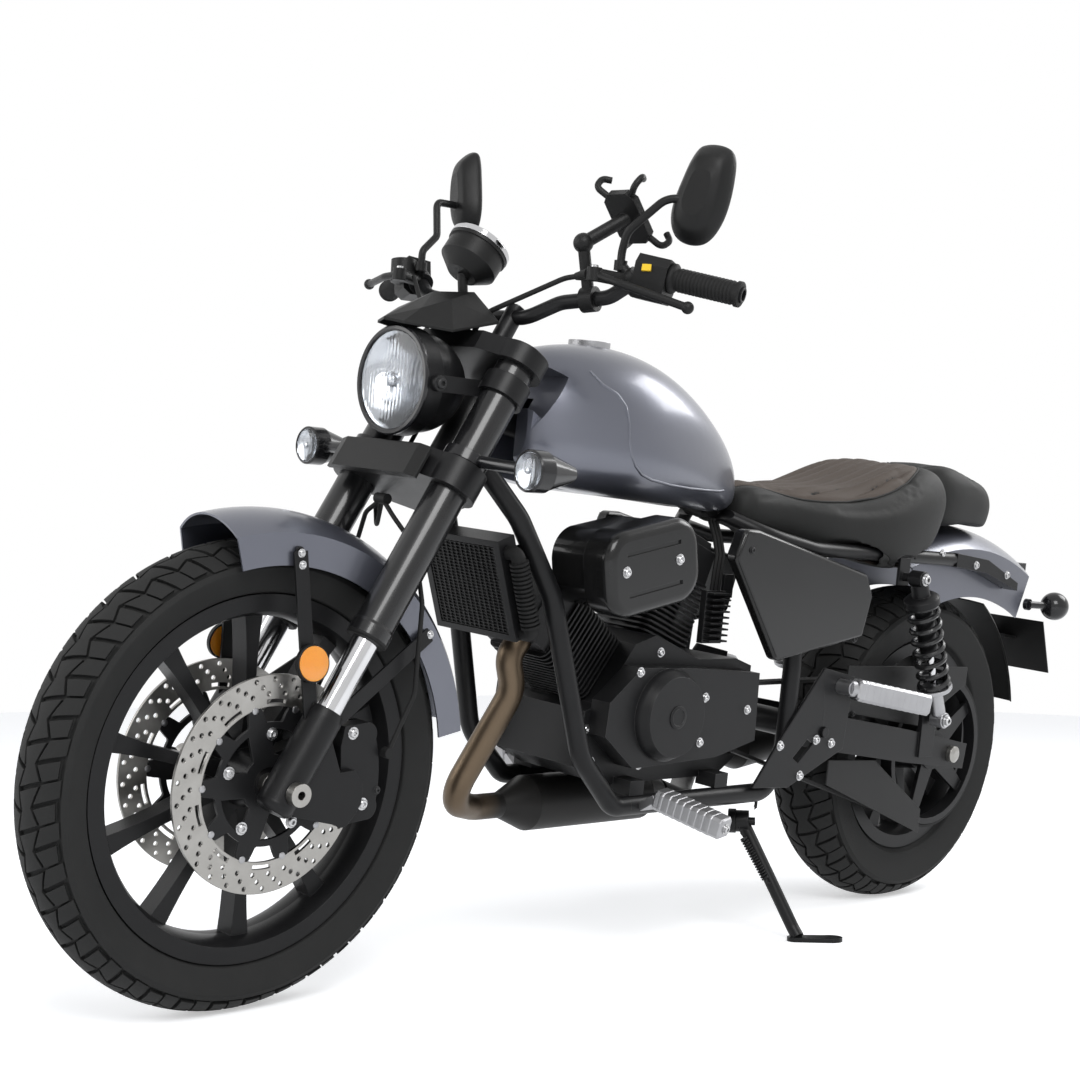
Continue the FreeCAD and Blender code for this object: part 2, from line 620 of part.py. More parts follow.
def make_front_axle():
    """Hollow axle with spacers beside the hub and a nut outside each foot."""
    body = new_body("front_axle")
    section = new_sketch(body, "XZ_Plane")
    hub = "front_hub_half + seat_gap"
    foot = "leg_y - foot_r - seat_gap"
    out = "leg_y + foot_r + seat_gap"
    half = [
        ("front_axle_bore_r", out + " + axle_nut_long"), ("axle_nut_r", out + " + axle_nut_long"),
        ("axle_nut_r", out), ("front_axle_r", out), ("front_axle_r", foot),
        ("spacer_r", foot), ("spacer_r", hub), ("front_axle_r", hub),
    ]
    other = [(r, "-(" + y + ")") for r, y in reversed(half)]
    draw_outline(section, half + other)
    revolve(body, section)
    return keep(body, "front_axle", Placement(front_axle, along_y))


make_front_axle()


def make_caliper():
    """Four-piston caliper straddling the disc, bolted inside the foot's arm."""
    body = new_body("caliper_side")
    face = new_sketch(body)
    long, deep = "caliper_long", "caliper_deep"
    draw_outline(face, [
        ("-%s * 0.38" % deep, "-%s * 0.5" % long), ("%s * 0.3" % deep, "-%s * 0.5" % long),
        ("%s * 0.5" % deep, "-%s * 0.32" % long, "%s * 0.45" % deep, "-%s * 0.46" % long),
        ("%s * 0.5" % deep, "%s * 0.32" % long, "%s * 0.58" % deep, "0"),
        ("%s * 0.3" % deep, "%s * 0.5" % long, "%s * 0.45" % deep, "%s * 0.46" % long),
        ("-%s * 0.38" % deep, "%s * 0.5" % long),
        ("-%s * 0.5" % deep, "%s * 0.3" % long), ("-%s * 0.5" % deep, "-%s * 0.3" % long),
    ])
    wide = "leg_y - foot_arm_thick / 2 - seat_gap - caliper_in_y"
    body.Tip = pad(body, face, wide, "One side")
    slot = new_sketch(body, "XZ_Plane")
    gap = "disc_thick / 2 + caliper_gap"
    middle = "disc_y - caliper_in_y"
    draw_outline(slot, [
        ("-%s" % deep, "%s - (%s)" % (middle, gap)), ("%s * 0.34" % deep, "%s - (%s)" % (middle, gap)),
        ("%s * 0.34" % deep, "%s + %s" % (middle, gap)), ("-%s" % deep, "%s + %s" % (middle, gap)),
    ])
    body.Tip = through_cut(body, slot)
    return body


def caliper_place(axle, radius, angle_deg, y):
    """Local X points away from the axle, local Z outward along the axle."""
    angle = math.radians(angle_deg)
    away = Vector(math.cos(angle), 0, math.sin(angle))
    out = Vector(0, 1, 0)
    turn = FreeCAD.Matrix(away.x, out.cross(away).x, out.x, 0, away.y, out.cross(away).y, out.y, 0,
                          away.z, out.cross(away).z, out.z, 0, 0, 0, 0, 1)
    spot = axle + away * radius + Vector(0, y, 0)
    return Placement(spot, Rotation(turn))


caliper = make_caliper()
caliper.Placement = caliper_place(front_axle, d.caliper_centre_r, d.caliper_angle_deg,
                                  d.caliper_in_y)
pair("front_calipers", caliper)


# Handlebar and what it carries

def bar_points(side):
    """The bar's corners from the risers out to one end."""
    corners = [
        in_fork(d.bar_ahead, d.bar_flat_y, d.bar_height),
        Vector(d.bar_rise_x, d.bar_rise_y, d.bar_rise_z),
        Vector(d.bar_bend_x, d.bar_bend_y, d.bar_bend_z),
        Vector(d.grip_inner_x, d.grip_inner_y, d.grip_inner_z),
        Vector(d.bar_end_x, d.bar_end_y, d.bar_end_z),
    ]
    return [Vector(p.x, side * p.y, p.z) for p in corners]


def make_bar():
    path = list(reversed(bar_points(-1))) + bar_points(1)
    feature("handlebar", tube(path, d.bar_r, d.bar_bend_r, d.bar_bore_r))
    return tube(path, d.bar_r + d.seat_gap, d.bar_bend_r)


def grip_line(side):
    """Start of the grip and the direction out along it."""
    inner, end = bar_points(side)[3:]
    along = (end - inner).normalize()
    return end - along * (d.grip_long + d.bar_r * 0.3), along


def make_grips():
    start, along = grip_line(1)
    sleeve = rod(start, start + along * d.grip_long, d.grip_r)
    collar = rod(start, start + along * d.grip_r * 0.4, d.grip_r * 1.3)
    flare = rod(start + along * (d.grip_long - d.grip_r * 0.4), start + along * d.grip_long,
                d.grip_r * 1.12)
    bore = rod(start - along * d.overrun, start + along * (d.grip_long + d.overrun),
               d.bar_r + d.seat_gap)
    feature("grips", both_sides(sleeve.fuse([collar, flare]).cut(bore)))


def make_controls(bar_room):
    """Switch block, perch, lever and mirror boss at each grip; the brake side has a fluid cup."""
    switch_shares = [(-0.85, 0.75), (0.6, 0.95), (0.95, 0.45), (0.85, -1.15), (0.4, -1.5),
                     (-0.6, -1.5), (-0.95, -0.8)]
    solids = []
    for side, tip_z in ((1, d.lever_tip_z), (-1, d.brake_tip_z)):
        start, along = grip_line(side)
        ahead = (along.cross(Vector(0, 0, 1)) * side).normalize()
        up = ahead.cross(along) * side
        back = start - along * (d.switch_long + d.seat_gap)
        case = plate([back + ahead * (d.switch_r * a) + up * (d.switch_r * b)
                      for a, b in switch_shares], along * d.switch_long)
        bend, knee = bar_points(side)[2:4]
        run = (knee - bend).normalize()
        middle = knee - run * d.perch_long
        ring = rod(middle - run * d.perch_long * 0.4, middle + run * d.perch_long * 0.4,
                   d.bar_r * 1.8)
        pivot = Vector(d.lever_pivot_x, side * d.lever_pivot_y, d.lever_pivot_z)
        arm = rod(middle, pivot, d.bar_r * 0.9)
        hinge = rod(pivot - Vector(0, 0, d.lever_r * 1.6), pivot + Vector(0, 0, d.lever_r * 1.6),
                    d.bar_r)
        tip = Vector(d.lever_tip_x, side * d.lever_tip_y, tip_z)
        elbow = pivot + (tip - pivot) * 0.3 + ahead * d.lever_r * 1.5
        lever = tube([pivot, elbow, tip], d.lever_r, d.bar_bend_r)
        ball = Part.makeSphere(d.lever_ball_r, tip)
        foot = Vector(d.mirror_foot_x, side * d.mirror_foot_y, d.mirror_foot_z)
        rise = Vector(0, 0, d.mirror_stem_r * 1.2)
        boss = rod(middle, foot - rise, d.mirror_stem_r * 1.5)
        collar = rod(foot - rise * 2, foot, d.mirror_stem_r * 1.6)
        parts = [ring, arm, hinge, lever, ball, boss, collar]
        if side < 0:
            cup = middle + ahead * d.switch_r * 1.1 - up * d.switch_r * 0.2
            parts.append(rod(cup, cup + up * d.switch_r * 1.4, d.switch_r * 0.8))
        solids.append(case.fuse(parts).cut(bar_room))
    feature("bar_controls", Part.makeCompound(solids))


mirror_ring_shares = [(-0.14, 0.99), (0.45, 1.0), (0.85, 0.88), (1.0, 0.43), (0.92, -0.1),
                      (0.65, -0.65), (0.17, -0.98), (-0.35, -1.0), (-0.75, -0.88),
                      (-1.0, -0.55), (-0.93, -0.09), (-0.68, 0.4), (-0.38, 0.84)]
mirror_layer_shares = [(0.95, 0.0), (1.0, 0.12), (0.95, 0.4), (0.8, 0.72), (0.45, 1.0)]


def mirror_head(centre, side):
    """Rounded shell, narrow at the top, with a flat glass side that faces the rider."""
    turn = math.radians(d.mirror_turn_deg)
    outward = Vector(-math.sin(turn), side * math.cos(turn), 0)
    forward = Vector(math.cos(turn), side * math.sin(turn), 0)
    rings = []
    for scale, depth in mirror_layer_shares:
        base = centre + forward * (d.mirror_deep * (depth - 0.5))
        rings.append(smooth_ring([
            base + outward * (d.mirror_half * scale * a)
            + Vector(0, 0, d.mirror_tall / 2 * scale * b) for a, b in mirror_ring_shares]))
    return Part.makeLoft(rings, True, False)


def make_mirrors():
    """Two heads, each set for the rider, on stems from the control perches."""
    left_foot = Vector(d.mirror_foot_x, d.mirror_foot_y, d.mirror_foot_z + d.seat_gap)
    left = Vector(d.mirror_x, d.mirror_y, d.mirror_z)
    reach = left - left_foot
    left_stem = tube([left_foot, left_foot + Vector(0, 0, reach.z * 0.12),
                      left_foot + Vector(-reach.x * 0.05, reach.y * 0.1, reach.z * 0.4),
                      left_foot + Vector(reach.x * 0.45, reach.y * 0.62, reach.z * 0.92),
                      left - Vector(0, 0, reach.z * 0.12)], d.mirror_stem_r, d.mirror_half * 0.8)
    right_foot = Vector(d.mirror_foot_x, -d.mirror_foot_y, d.mirror_foot_z + d.seat_gap)
    right = Vector(d.other_mirror_x, -d.other_mirror_y, d.other_mirror_z)
    reach = right - right_foot
    right_stem = tube([right_foot, right_foot + Vector(0, 0, reach.z * 0.14),
                       right_foot + Vector(reach.x * 0.28, reach.y * 0.1, reach.z * 0.36),
                       right_foot + Vector(reach.x * 0.33, reach.y * 0.5, reach.z * 0.8),
                       right - Vector(0, 0, reach.z * 0.16)], d.mirror_stem_r, d.mirror_stem_r * 2.5)
    feature("mirrors", Part.makeCompound([mirror_head(left, 1).fuse(left_stem),
                                          mirror_head(right, -1).fuse(right_stem)]))


def make_gauge():
    """Round instrument with a bowl behind it, on a bracket from the upper clamp."""
    lean = math.radians(d.gauge_tilt_deg)
    facing = Vector(-math.sin(lean), 0, math.cos(lean))
    face = Vector(d.gauge_x, 0, d.gauge_z)
    ring = rod(face - facing * d.gauge_deep * 0.2, face, d.gauge_r)
    case = rod(face - facing * d.gauge_deep * 0.66, face, d.gauge_r * 0.95)
    bowl = Part.makeCone(d.gauge_r * 0.5, d.gauge_r * 0.95, d.gauge_deep * 0.34,
                         face - facing * d.gauge_deep, facing)
    low = fork.inverse().multVec(face - facing * d.gauge_deep)
    top = d.upper_clamp_low + d.upper_clamp_thick + d.seat_gap
    half = d.riser_r
    foot = block(Vector(d.bar_ahead + half * 0.2, -half, top),
                 Vector(d.clamp_bump_x, half, top + half * 0.8))
    post = rod(Vector(d.bar_ahead + d.bar_r * 2.4, 0, top + half * 0.6),
               low + Vector(0, 0, half * 0.2), half * 0.5)
    bracket = foot.fuse(post)
    bracket.transformShape(fork.toMatrix())
    feature("instrument", ring.fuse([case, bowl, bracket]))
    return rod(in_fork(d.bar_ahead + d.bar_r * 2.4, 0, top), face - facing * d.gauge_deep, half * 0.9)


def make_phone_holder(bar_room):
    """Plate with four claws for a telephone, on an arm from a ring on the left of the bar."""
    long = Vector(0.66, 0, 0.75).normalize()
    across = Vector(0, 1, 0)
    face = across.cross(long) * -1
    centre = Vector(d.holder_x, d.holder_y, d.holder_z)
    half, tall, claw_r = d.holder_half, d.holder_tall, d.holder_r

    def spot(a, b, c):
        return centre + across * a + long * b + face * c
    board = plate([spot(-half, -tall * 0.7, 0), spot(-half * 0.6, -tall, 0),
                   spot(half * 0.6, -tall, 0), spot(half, -tall * 0.7, 0),
                   spot(half, tall * 0.7, 0), spot(half * 0.6, tall, 0),
                   spot(-half * 0.6, tall, 0), spot(-half, tall * 0.7, 0)], face * claw_r * 2.4)
    claws = []
    for a in (-1, 1):
        for b in (-1, 1):
            claws.append(tube([
                spot(a * half * 0.6, b * tall * 0.7, claw_r * 1.2),
                spot(a * half * 1.3, b * tall * 1.25, claw_r * 1.2),
                spot(a * half * 1.35, b * tall * 1.3, claw_r * 5),
                spot(a * half * 1.05, b * tall * 1.1, claw_r * 6.5)], claw_r, claw_r * 2))
    rise, bend = bar_points(1)[1:3]
    run = (bend - rise).normalize()
    seat = rise + run * (bend.distanceToPoint(rise) * 0.6)
    ring = rod(seat - run * d.bar_r, seat + run * d.bar_r, d.bar_r * 1.7)
    knuckle = seat + Vector(d.bar_r * 1.8, -claw_r, d.holder_tall * 1.9)
    column = rod(seat + Vector(claw_r, 0, d.bar_r), knuckle, claw_r * 1.8)
    joint = Part.makeSphere(claw_r * 3, knuckle)
    neck = rod(knuckle, spot(0, 0, claw_r), claw_r * 2)
    clamp = ring.cut(bar_room)
    feature("phone_holder", clamp.fuse([column.cut(bar_room), joint, neck, board] + claws))


def make_clamp_cover():
    """Moulded cover over the front of the lower yoke."""
    low = d.lower_clamp_low + d.lower_clamp_thick - d.seat_gap - d.clamp_cover_tall * 1.16
    front, half = d.clamp_bump_x + d.seat_gap, d.clamp_cover_half
    thick, corner = d.clamp_wall, d.clamp_wall * 1.6
    outline = [Vector(front, -half, low), Vector(front + thick * 0.4, -half, low),
               Vector(front + thick, -half + corner, low), Vector(front + thick, half - corner, low),
               Vector(front + thick * 0.4, half, low), Vector(front, half, low)]
    feature("clamp_cover", plate(outline, Vector(0, 0, d.clamp_cover_tall)), fork)


hose_shares = [(0.295, -1.97, 1.081), (0.095, -1.571, 1.012), (-0.44, -1.286, 0.924),
               (-0.47, -0.97, 0.79), (-0.47, -0.97, 0.60), (-0.38, -0.55, 0.545),
               (0.18, 0.0, 0.572)]
branch_shares = [(0.18, 0.0, 0.572), (0.10, 0.30, 0.545), (-0.25, 0.64, 0.510),
                 (-0.58, 0.96, 0.420), (-1.17, 1.01, 0.275), (-1.24, 1.01, 0.158)]


def make_hoses():
    """Brake hose from the fluid cup to a union under the yoke and on to both calipers, and the
    clutch cable's boot and cable."""
    def spot(x_share, y_share, height_share):
        return in_fork(x_share * d.leg_y, y_share * d.leg_y, height_share * d.bar_height)
    main = tube([spot(*s) for s in hose_shares], d.hose_r, d.bar_bend_r * 0.7)
    union = spot(*hose_shares[-1])
    body = rod(union - Vector(0, d.boot_r * 1.5, 0), union + Vector(0, d.boot_r * 1.5, 0), d.boot_r)
    branch = tube([spot(*s) for s in branch_shares], d.hose_r, d.bar_bend_r * 0.7)
    end = spot(*branch_shares[-1])
    banjo = rod(Vector(end.x, d.leg_y - d.foot_arm_thick / 2 + d.seat_gap, end.z),
                Vector(end.x, d.leg_y + d.foot_arm_thick / 2, end.z), d.boot_r)
    side = branch.fuse(banjo)
    hoses = main.fuse([body, side, mirrored(side)])
    start = Vector(d.lever_pivot_x - d.bar_r * 0.2, d.lever_pivot_y - d.bar_r - d.seat_gap,
                   d.lever_pivot_z)
    bend = Vector(d.bar_rise_x + d.boot_r * 2, d.bar_rise_y * 1.15, d.lever_pivot_z - d.boot_r * 0.5)
    top = d.upper_clamp_low + d.upper_clamp_thick + d.seat_gap
    low = in_fork(d.clamp_bump_x * 0.75, d.riser_y * 0.55, top)
    knee = in_fork(d.clamp_bump_x * 0.75, d.riser_y * 0.55, top + d.boot_r * 5)
    cable = tube([start, bend, knee, low], d.cable_r, d.bar_bend_r * 0.7)
    boot = Part.makeCone(d.boot_r * 1.2, d.boot_r * 0.7, d.boot_r * 4, start, bend - start)
    feature("brake_hoses", Part.makeCompound([hoses, cable.fuse(boot)]))


bar_room = make_bar()
make_grips()
make_controls(bar_room)
make_mirrors()
gauge_post_room = make_gauge()
make_phone_holder(bar_room)
make_clamp_cover()
make_hoses()


# Headlight, visor and front signals

def make_headlight():
    shell = new_body("headlight_shell")
    section = new_sketch(shell, "XZ_Plane")
    deep, wide, lens = "lamp_deep", "lamp_shell_r", "lamp_r + seat_gap"
    draw_outline(section, [
        ("-lamp_deep", "0"), ("-lamp_deep", wide + " * 0.3"),
        ("-lamp_deep * 0.45", wide + " * 0.92", "-lamp_deep * 0.8", wide + " * 0.7"),
        ("-lamp_deep * 0.3", wide + " * 0.94"), ("-lamp_deep * 0.27", wide), ("0", wide),
        ("0", lens), ("-lens_dome", lens), ("-lens_dome", "0"),
    ])
    revolve(shell, section, "H_Axis")
    place = Placement(Vector(d.lamp_x, 0, d.lamp_z), Rotation())
    keep(shell, "headlight_shell", place)
    glass = new_body("headlight_lens")
    ball = "((lamp_r ^ 2 + (lens_dome * 1.2) ^ 2) / (lens_dome * 2.4))"
    section = new_sketch(glass, "XZ_Plane")
    draw_outline(section, [
        ("-lens_dome + seat_gap", "0"), ("-lens_dome + seat_gap", "lamp_r"),
        ("-lens_dome * 0.2", "lamp_r"),
        ("lens_dome", "0", "lens_dome - %s + sqrt(%s ^ 2 - lamp_r ^ 2 / 4)" % (ball, ball), "lamp_r / 2"),
    ])
    revolve(glass, section, "H_Axis")
    keep(glass, "headlight_lens", place)


def ring_on_leg(height, tall, outer):
    """Clamp ring round the left fork tube, in bike coordinates."""
    foot = in_fork(0, d.leg_y, height)
    up = in_fork(0, d.leg_y, height + tall) - foot
    return rod(foot, foot + up, outer).cut(rod(foot - up, foot + up * 2, d.fork_tube_r + d.seat_gap))


def make_lamp_brackets():
    """Arm from a ring on each fork tube to the side of the headlight."""
    mid_height = (d.lamp_z - d.front_tyre_r) / math.cos(math.radians(d.rake_deg))
    ring = ring_on_leg(mid_height - d.collar_long, d.collar_long * 2, d.collar_r + d.clamp_wall * 0.3)
    front = Vector(d.lamp_x - d.lamp_deep * 0.15, d.lamp_shell_r + d.seat_gap, d.lamp_z)
    out = Vector(0, d.lamp_ear_y + d.lamp_ear_thick - front.y, 0)
    boss = rod(front, front + out, d.clamp_wall)
    leg = in_fork(0, d.leg_y, mid_height)
    arm = block(Vector(leg.x + d.fork_tube_r, d.lamp_ear_y, d.lamp_z - d.clamp_wall),
                Vector(front.x, d.lamp_ear_y + d.lamp_ear_thick, d.lamp_z + d.clamp_wall))
    tube_room = rod(in_fork(0, d.leg_y, d.fork_tube_low), in_fork(0, d.leg_y, d.fork_tube_top),
                    d.fork_tube_r + d.seat_gap)
    bracket = ring.fuse([boss, arm]).cut(tube_room)
    feature("lamp_brackets", both_sides(max(bracket.Solids, key=lambda s: s.Volume)))


def folded_sheet(triangles, skin):
    """Thin sheet made of flat facets, thickened downward."""
    facets = [plate(list(corners), Vector(0, 0, -skin)) for corners in triangles]
    return facets[0].fuse(facets[1:]).removeSplitter()


visor_shares = {
    "tip": (1.0, 0.0, 0.0), "nose": (0.93, 0.5, -0.08), "crease_front": (0.75, 0.45, 0.36),
    "crease_back": (0.48, 0.55, 0.72), "ridge_front": (0.52, 0.0, 0.92), "ridge": (0.19, 0.0, 1.0),
    "back": (0.22, 0.45, 1.04), "corner": (0.086, 1.0, 0.27), "edge": (0.56, 1.0, -0.16)}
visor_facets = [
    ("tip", "ridge_front", "crease_front"), ("tip", "crease_front", "nose"),
    ("ridge_front", "ridge", "back"), ("ridge_front", "back", "crease_back"),
    ("ridge_front", "crease_back", "crease_front"), ("back", "corner", "crease_back"),
    ("crease_back", "corner", "edge"), ("crease_front", "crease_back", "edge"),
    ("crease_front", "edge", "nose")]


def make_visor(post_room):
    """Faceted cowl over the headlight, on one post."""
    long, tall = d.visor_tip_x - d.visor_rear_x, d.visor_rear_z - d.visor_tip_z

    def corner(name, side):
        x_share, y_share, z_share = visor_shares[name]
        return Vector(d.visor_rear_x + long * x_share, side * d.visor_half * y_share,
                      d.visor_tip_z + tall * z_share)
    facets = [tuple(corner(name, side) for name in facet) for side in (1, -1) for facet in visor_facets]
    sheet_shape = folded_sheet(facets, d.visor_skin)
    post_x = d.lamp_x - d.lamp_deep * 0.2
    post = rod(Vector(post_x, 0, d.lamp_z + d.lamp_shell_r + d.seat_gap),
               Vector(post_x, 0, d.visor_tip_z + tall * 0.3), d.mirror_stem_r)
    solid = sheet_shape.fuse(post).cut(post_room)
    feature("headlight_visor", max(solid.Solids, key=lambda s: s.Volume))


def make_front_signals():
    """Lamp body behind a round lens, on a stalk from a ring on the fork tube."""
    height = (d.signal_z - d.front_tyre_r) / math.cos(math.radians(d.rake_deg))
    ring = ring_on_leg(height - d.stay_thick, d.collar_long, d.collar_r + d.clamp_wall * 0.2)
    lens = Vector(d.signal_x, d.signal_y, d.signal_z)
    back = Vector(-1, 0, 0)
    rim = rod(lens, lens + back * d.signal_long * 0.3, d.signal_r)
    cone = Part.makeCone(d.signal_r * 0.97, d.signal_r * 0.4, d.signal_long * 0.7,
                         lens + back * d.signal_long * 0.3, back)
    root = in_fork(0, d.leg_y, height + d.collar_long * 0.3)
    root.y += d.fork_tube_r + d.stay_thick
    stalk = rod(root, lens + back * d.signal_long * 0.22, d.signal_stalk_r)
    feature("front_signals", both_sides(rim.fuse([cone, stalk, ring])))


def strap(start, end, normal, wide, thick):
    """Flat bar between two points."""
    along = (end - start).normalize()
    across = normal.cross(along).normalize()
    lift = along.cross(across) * (thick / 2)
    side = across * (wide / 2)
    corners = [start + side - lift, start - side - lift, end - side - lift, end + side - lift]
    return plate(corners, lift * 2)


def around_axle(axle, radius, angle_deg, y):
    angle = math.radians(angle_deg)
    return axle + Vector(radius * math.cos(angle), y, radius * math.sin(angle))


def fender_shape(centre, crown_r, corner_r, edge_r, half, skin, start_deg, end_deg):
    """Arched section swept round a wheel-like centre."""
    def spot(radius, y):
        return around_axle(centre, radius, start_deg, y)
    inner_half = half - skin
    crown_in, corner_in = crown_r - skin, corner_r - skin * 0.6
    top = 0.96
    wire = Part.Wire([
        Part.LineSegment(spot(edge_r, -half), spot(corner_r, -half * top)).toShape(),
        Part.Arc(spot(corner_r, -half * top), spot(crown_r, 0), spot(corner_r, half * top)).toShape(),
        Part.LineSegment(spot(corner_r, half * top), spot(edge_r, half)).toShape(),
        Part.LineSegment(spot(edge_r, half), spot(edge_r, inner_half)).toShape(),
        Part.LineSegment(spot(edge_r, inner_half), spot(corner_in, inner_half * top)).toShape(),
        Part.Arc(spot(corner_in, inner_half * top), spot(crown_in, 0),
                 spot(corner_in, -inner_half * top)).toShape(),
        Part.LineSegment(spot(corner_in, -inner_half * top), spot(edge_r, -inner_half)).toShape(),
        Part.LineSegment(spot(edge_r, -inner_half), spot(edge_r, -half)).toShape(),
    ])
    return Part.Face(wire).revolve(centre, Vector(0, -1, 0), end_deg - start_deg)


def make_front_fender():
    shape = fender_shape(front_axle, d.fender_r, d.fender_corner_r, d.fender_edge_r, d.fender_half,
                         d.fender_skin, d.fender_from_deg, d.fender_to_deg)
    feature("front_fender", shape)
    foot = rod(in_fork(0, d.leg_y, -d.foot_low), in_fork(0, d.leg_y, d.foot_top), d.foot_r + d.seat_gap)
    foot = foot.fuse(rod(in_fork(0, d.leg_y, 0), in_fork(0, d.leg_y, d.fork_tube_low), d.foot_r * 0.8))
    outward = Vector(0, 1, 0)
    side = d.fender_half + d.stay_thick
    top = around_axle(front_axle, d.fender_corner_r * 0.93, d.stay_front_deg, side)
    low = in_fork(d.foot_r * 0.6, d.leg_y, d.foot_top * 0.8)
    front_stay = strap(top, low, outward, d.stay_wide, d.stay_thick)
    rear_top = around_axle(front_axle, d.fender_corner_r * 0.95, d.stay_rear_deg, side)
    rear_low = in_fork(-d.foot_r * 0.6, d.leg_y, d.foot_top * 0.86)
    rear_stay = strap(rear_top, rear_low, outward, d.stay_wide, d.stay_thick)
    lug = rod(top, top - outward * (d.stay_thick - d.seat_gap), d.stay_wide * 0.3)
    rear_lug = rod(rear_top, rear_top - outward * (d.stay_thick - d.seat_gap), d.stay_wide * 0.3)
    stays = [front_stay.fuse(lug).cut(foot), rear_stay.fuse(rear_lug).cut(foot)]
    feature("fender_stays", both_sides(Part.makeCompound(stays)))
    spot = top + (low - top) * 0.66
    along = (low - top).normalize()
    face = (outward - along * outward.dot(along)).normalize()
    boss = rod(spot + face * (d.stay_thick / 2 + d.seat_gap), spot + face * d.stay_thick * 2,
               d.stay_wide * 0.3)
    disc = rod(spot + face * d.stay_thick * 1.8,
               spot + face * (d.stay_thick * 1.8 + d.reflector_thick), d.reflector_r)
    feature("fork_reflectors", both_sides(boss.fuse(disc)))


make_headlight()
make_lamp_brackets()
make_visor(gauge_post_room)
make_front_signals()
make_front_fender()


# Frame

def on_bike(x_share, y_share, z_share):
    """A frame corner as shares of wheelbase, rail spacing and saddle height."""
    return Vector(x_share * d.wheelbase, y_share * d.rail_y, z_share * d.saddle_z)


down_tube_shares = [(0.775, 0.30, 0.928), (0.740, 0.654, 0.831), (0.702, 0.862, 0.698),
                    (0.651, 1.0, 0.407), (0.598, 1.0, 0.312), (0.579, 1.0, 0.312)]
lower_rail_shares = [(0.579, 1.0, 0.312), (0.352, 1.0, 0.312), (0.325, 1.0, 0.400),
                     (0.325, 1.0, 0.560), (0.325, 0.91, 0.770)]
backbone_shares = [(0.760, 0.0, 1.012), (0.579, 0.0, 0.960), (0.412, 0.0, 0.874)]
seat_rail_shares = [(0.420, 0.10, 0.874), (0.370, 0.80, 0.828), (0.300, 0.93, 0.806),
                    (0.020, 0.93, 0.799)]


def shock_ear(gap):
    """Bracket on the outside of the seat rail for the shock's top bolt."""
    rail = on_bike(*seat_rail_shares[-1])
    out = rail.y + d.seat_rail_r + d.seat_gap
    return block(Vector(d.shock_top_x - d.lug_half - gap, out - gap, d.shock_top_z - d.lug_half),
                 Vector(d.shock_top_x + d.lug_half + gap, out + d.plate_thick + gap, rail.z + gap))


stand_axis = Vector(*[d.stand_axis_x, d.stand_axis_y, d.stand_axis_z]).normalize()


def make_stand_hanger():
    """Plate and pin under the left rail that carry the side stand."""
    pin = Vector(d.stand_x, d.stand_y, d.stand_z)
    axis = stand_axis
    shaft = rod(pin - axis * d.stand_r * 2.2, pin + axis * d.stand_r * 2, d.stand_pin_r)
    cheek = rod(pin - axis * d.stand_r * 2.2, pin - axis * (d.stand_r + d.seat_gap), d.stand_r * 1.9)
    rail = Vector(d.stand_x, d.rail_y, d.rail_z - d.tube_r)
    hanger = strap(pin - axis * d.stand_r * 1.7, rail, axis, d.stand_r * 3, d.plate_thick)
    leg_room = rod(pin - axis * d.stand_r, pin + axis * d.stand_r * 2, d.stand_r * 4)
    return shaft.fuse([cheek, hanger.cut(leg_room)])


def make_frame():
    head_low = in_fork(-d.fork_offset, 0, d.head_tube_low)
    head_top = in_fork(-d.fork_offset, 0, d.head_tube_top)
    hollow = rod(head_low + (head_low - head_top), head_top + (head_top - head_low), d.bearing_r)
    head = rod(head_low, head_top, d.head_tube_r)
    spine = tube([on_bike(*s) for s in backbone_shares], d.backbone_r, d.wheelbase)
    end = on_bike(*backbone_shares[-1])
    cross = rod(end - Vector(0, d.backbone_r * 1.2, 0), end + Vector(0, d.backbone_r * 1.2, 0),
                d.seat_rail_r * 1.5)
    feature("backbone", head.fuse([spine, cross]).cut(hollow))
    head_room = rod(head_low, head_top, d.head_tube_r + d.seat_gap)
    down = tube([on_bike(*s) for s in down_tube_shares], d.tube_r, d.wheelbase * 0.06)
    feature("down_tubes", both_sides(down.cut(head_room)))
    rail = tube([on_bike(*s) for s in lower_rail_shares], d.tube_r, d.wheelbase * 0.03)
    feature("lower_rails", Part.makeCompound([rail.fuse(make_stand_hanger()), mirrored(rail)]))
    cross_room = rod(end - Vector(0, d.rail_y, 0), end + Vector(0, d.rail_y, 0),
                     d.seat_rail_r * 1.5 + d.seat_gap)
    upper = tube([on_bike(*s) for s in seat_rail_shares], d.seat_rail_r, d.wheelbase * 0.06)
    rail_end = on_bike(*lower_rail_shares[-1])
    riser_room = rod(on_bike(*lower_rail_shares[-2]), rail_end, d.tube_r + d.seat_gap)
    upper = max(upper.cut([cross_room, riser_room]).Solids, key=lambda s: s.Volume)
    end = on_bike(*seat_rail_shares[-1])
    out = end.y + d.seat_rail_r + d.seat_gap + d.plate_thick
    root = block(Vector(max(end.x, d.shock_top_x - d.lug_half), end.y, end.z - d.seat_rail_r * 0.5),
                 Vector(d.shock_top_x + d.lug_half, out, end.z))
    stud = rod(Vector(d.shock_top_x, out - d.plate_thick, d.shock_top_z),
               Vector(d.shock_top_x, d.shock_y + d.shock_eye_r * 1.4, d.shock_top_z), d.shock_bolt_r)
    feature("seat_rails", both_sides(upper.fuse([root, shock_ear(0), stud])))


make_frame()


# Tank and seats

def station_ring(x, half, top, low, shape_shares):
    """Closed cross-section at one station; shares run from the top centre down one side."""
    tall = top - low
    side = [Vector(x, half * y, low + tall * z) for y, z in shape_shares]
    other = [Vector(p.x, -p.y, p.z) for p in reversed(side) if p.y > 0]
    return smooth_ring(side + other)


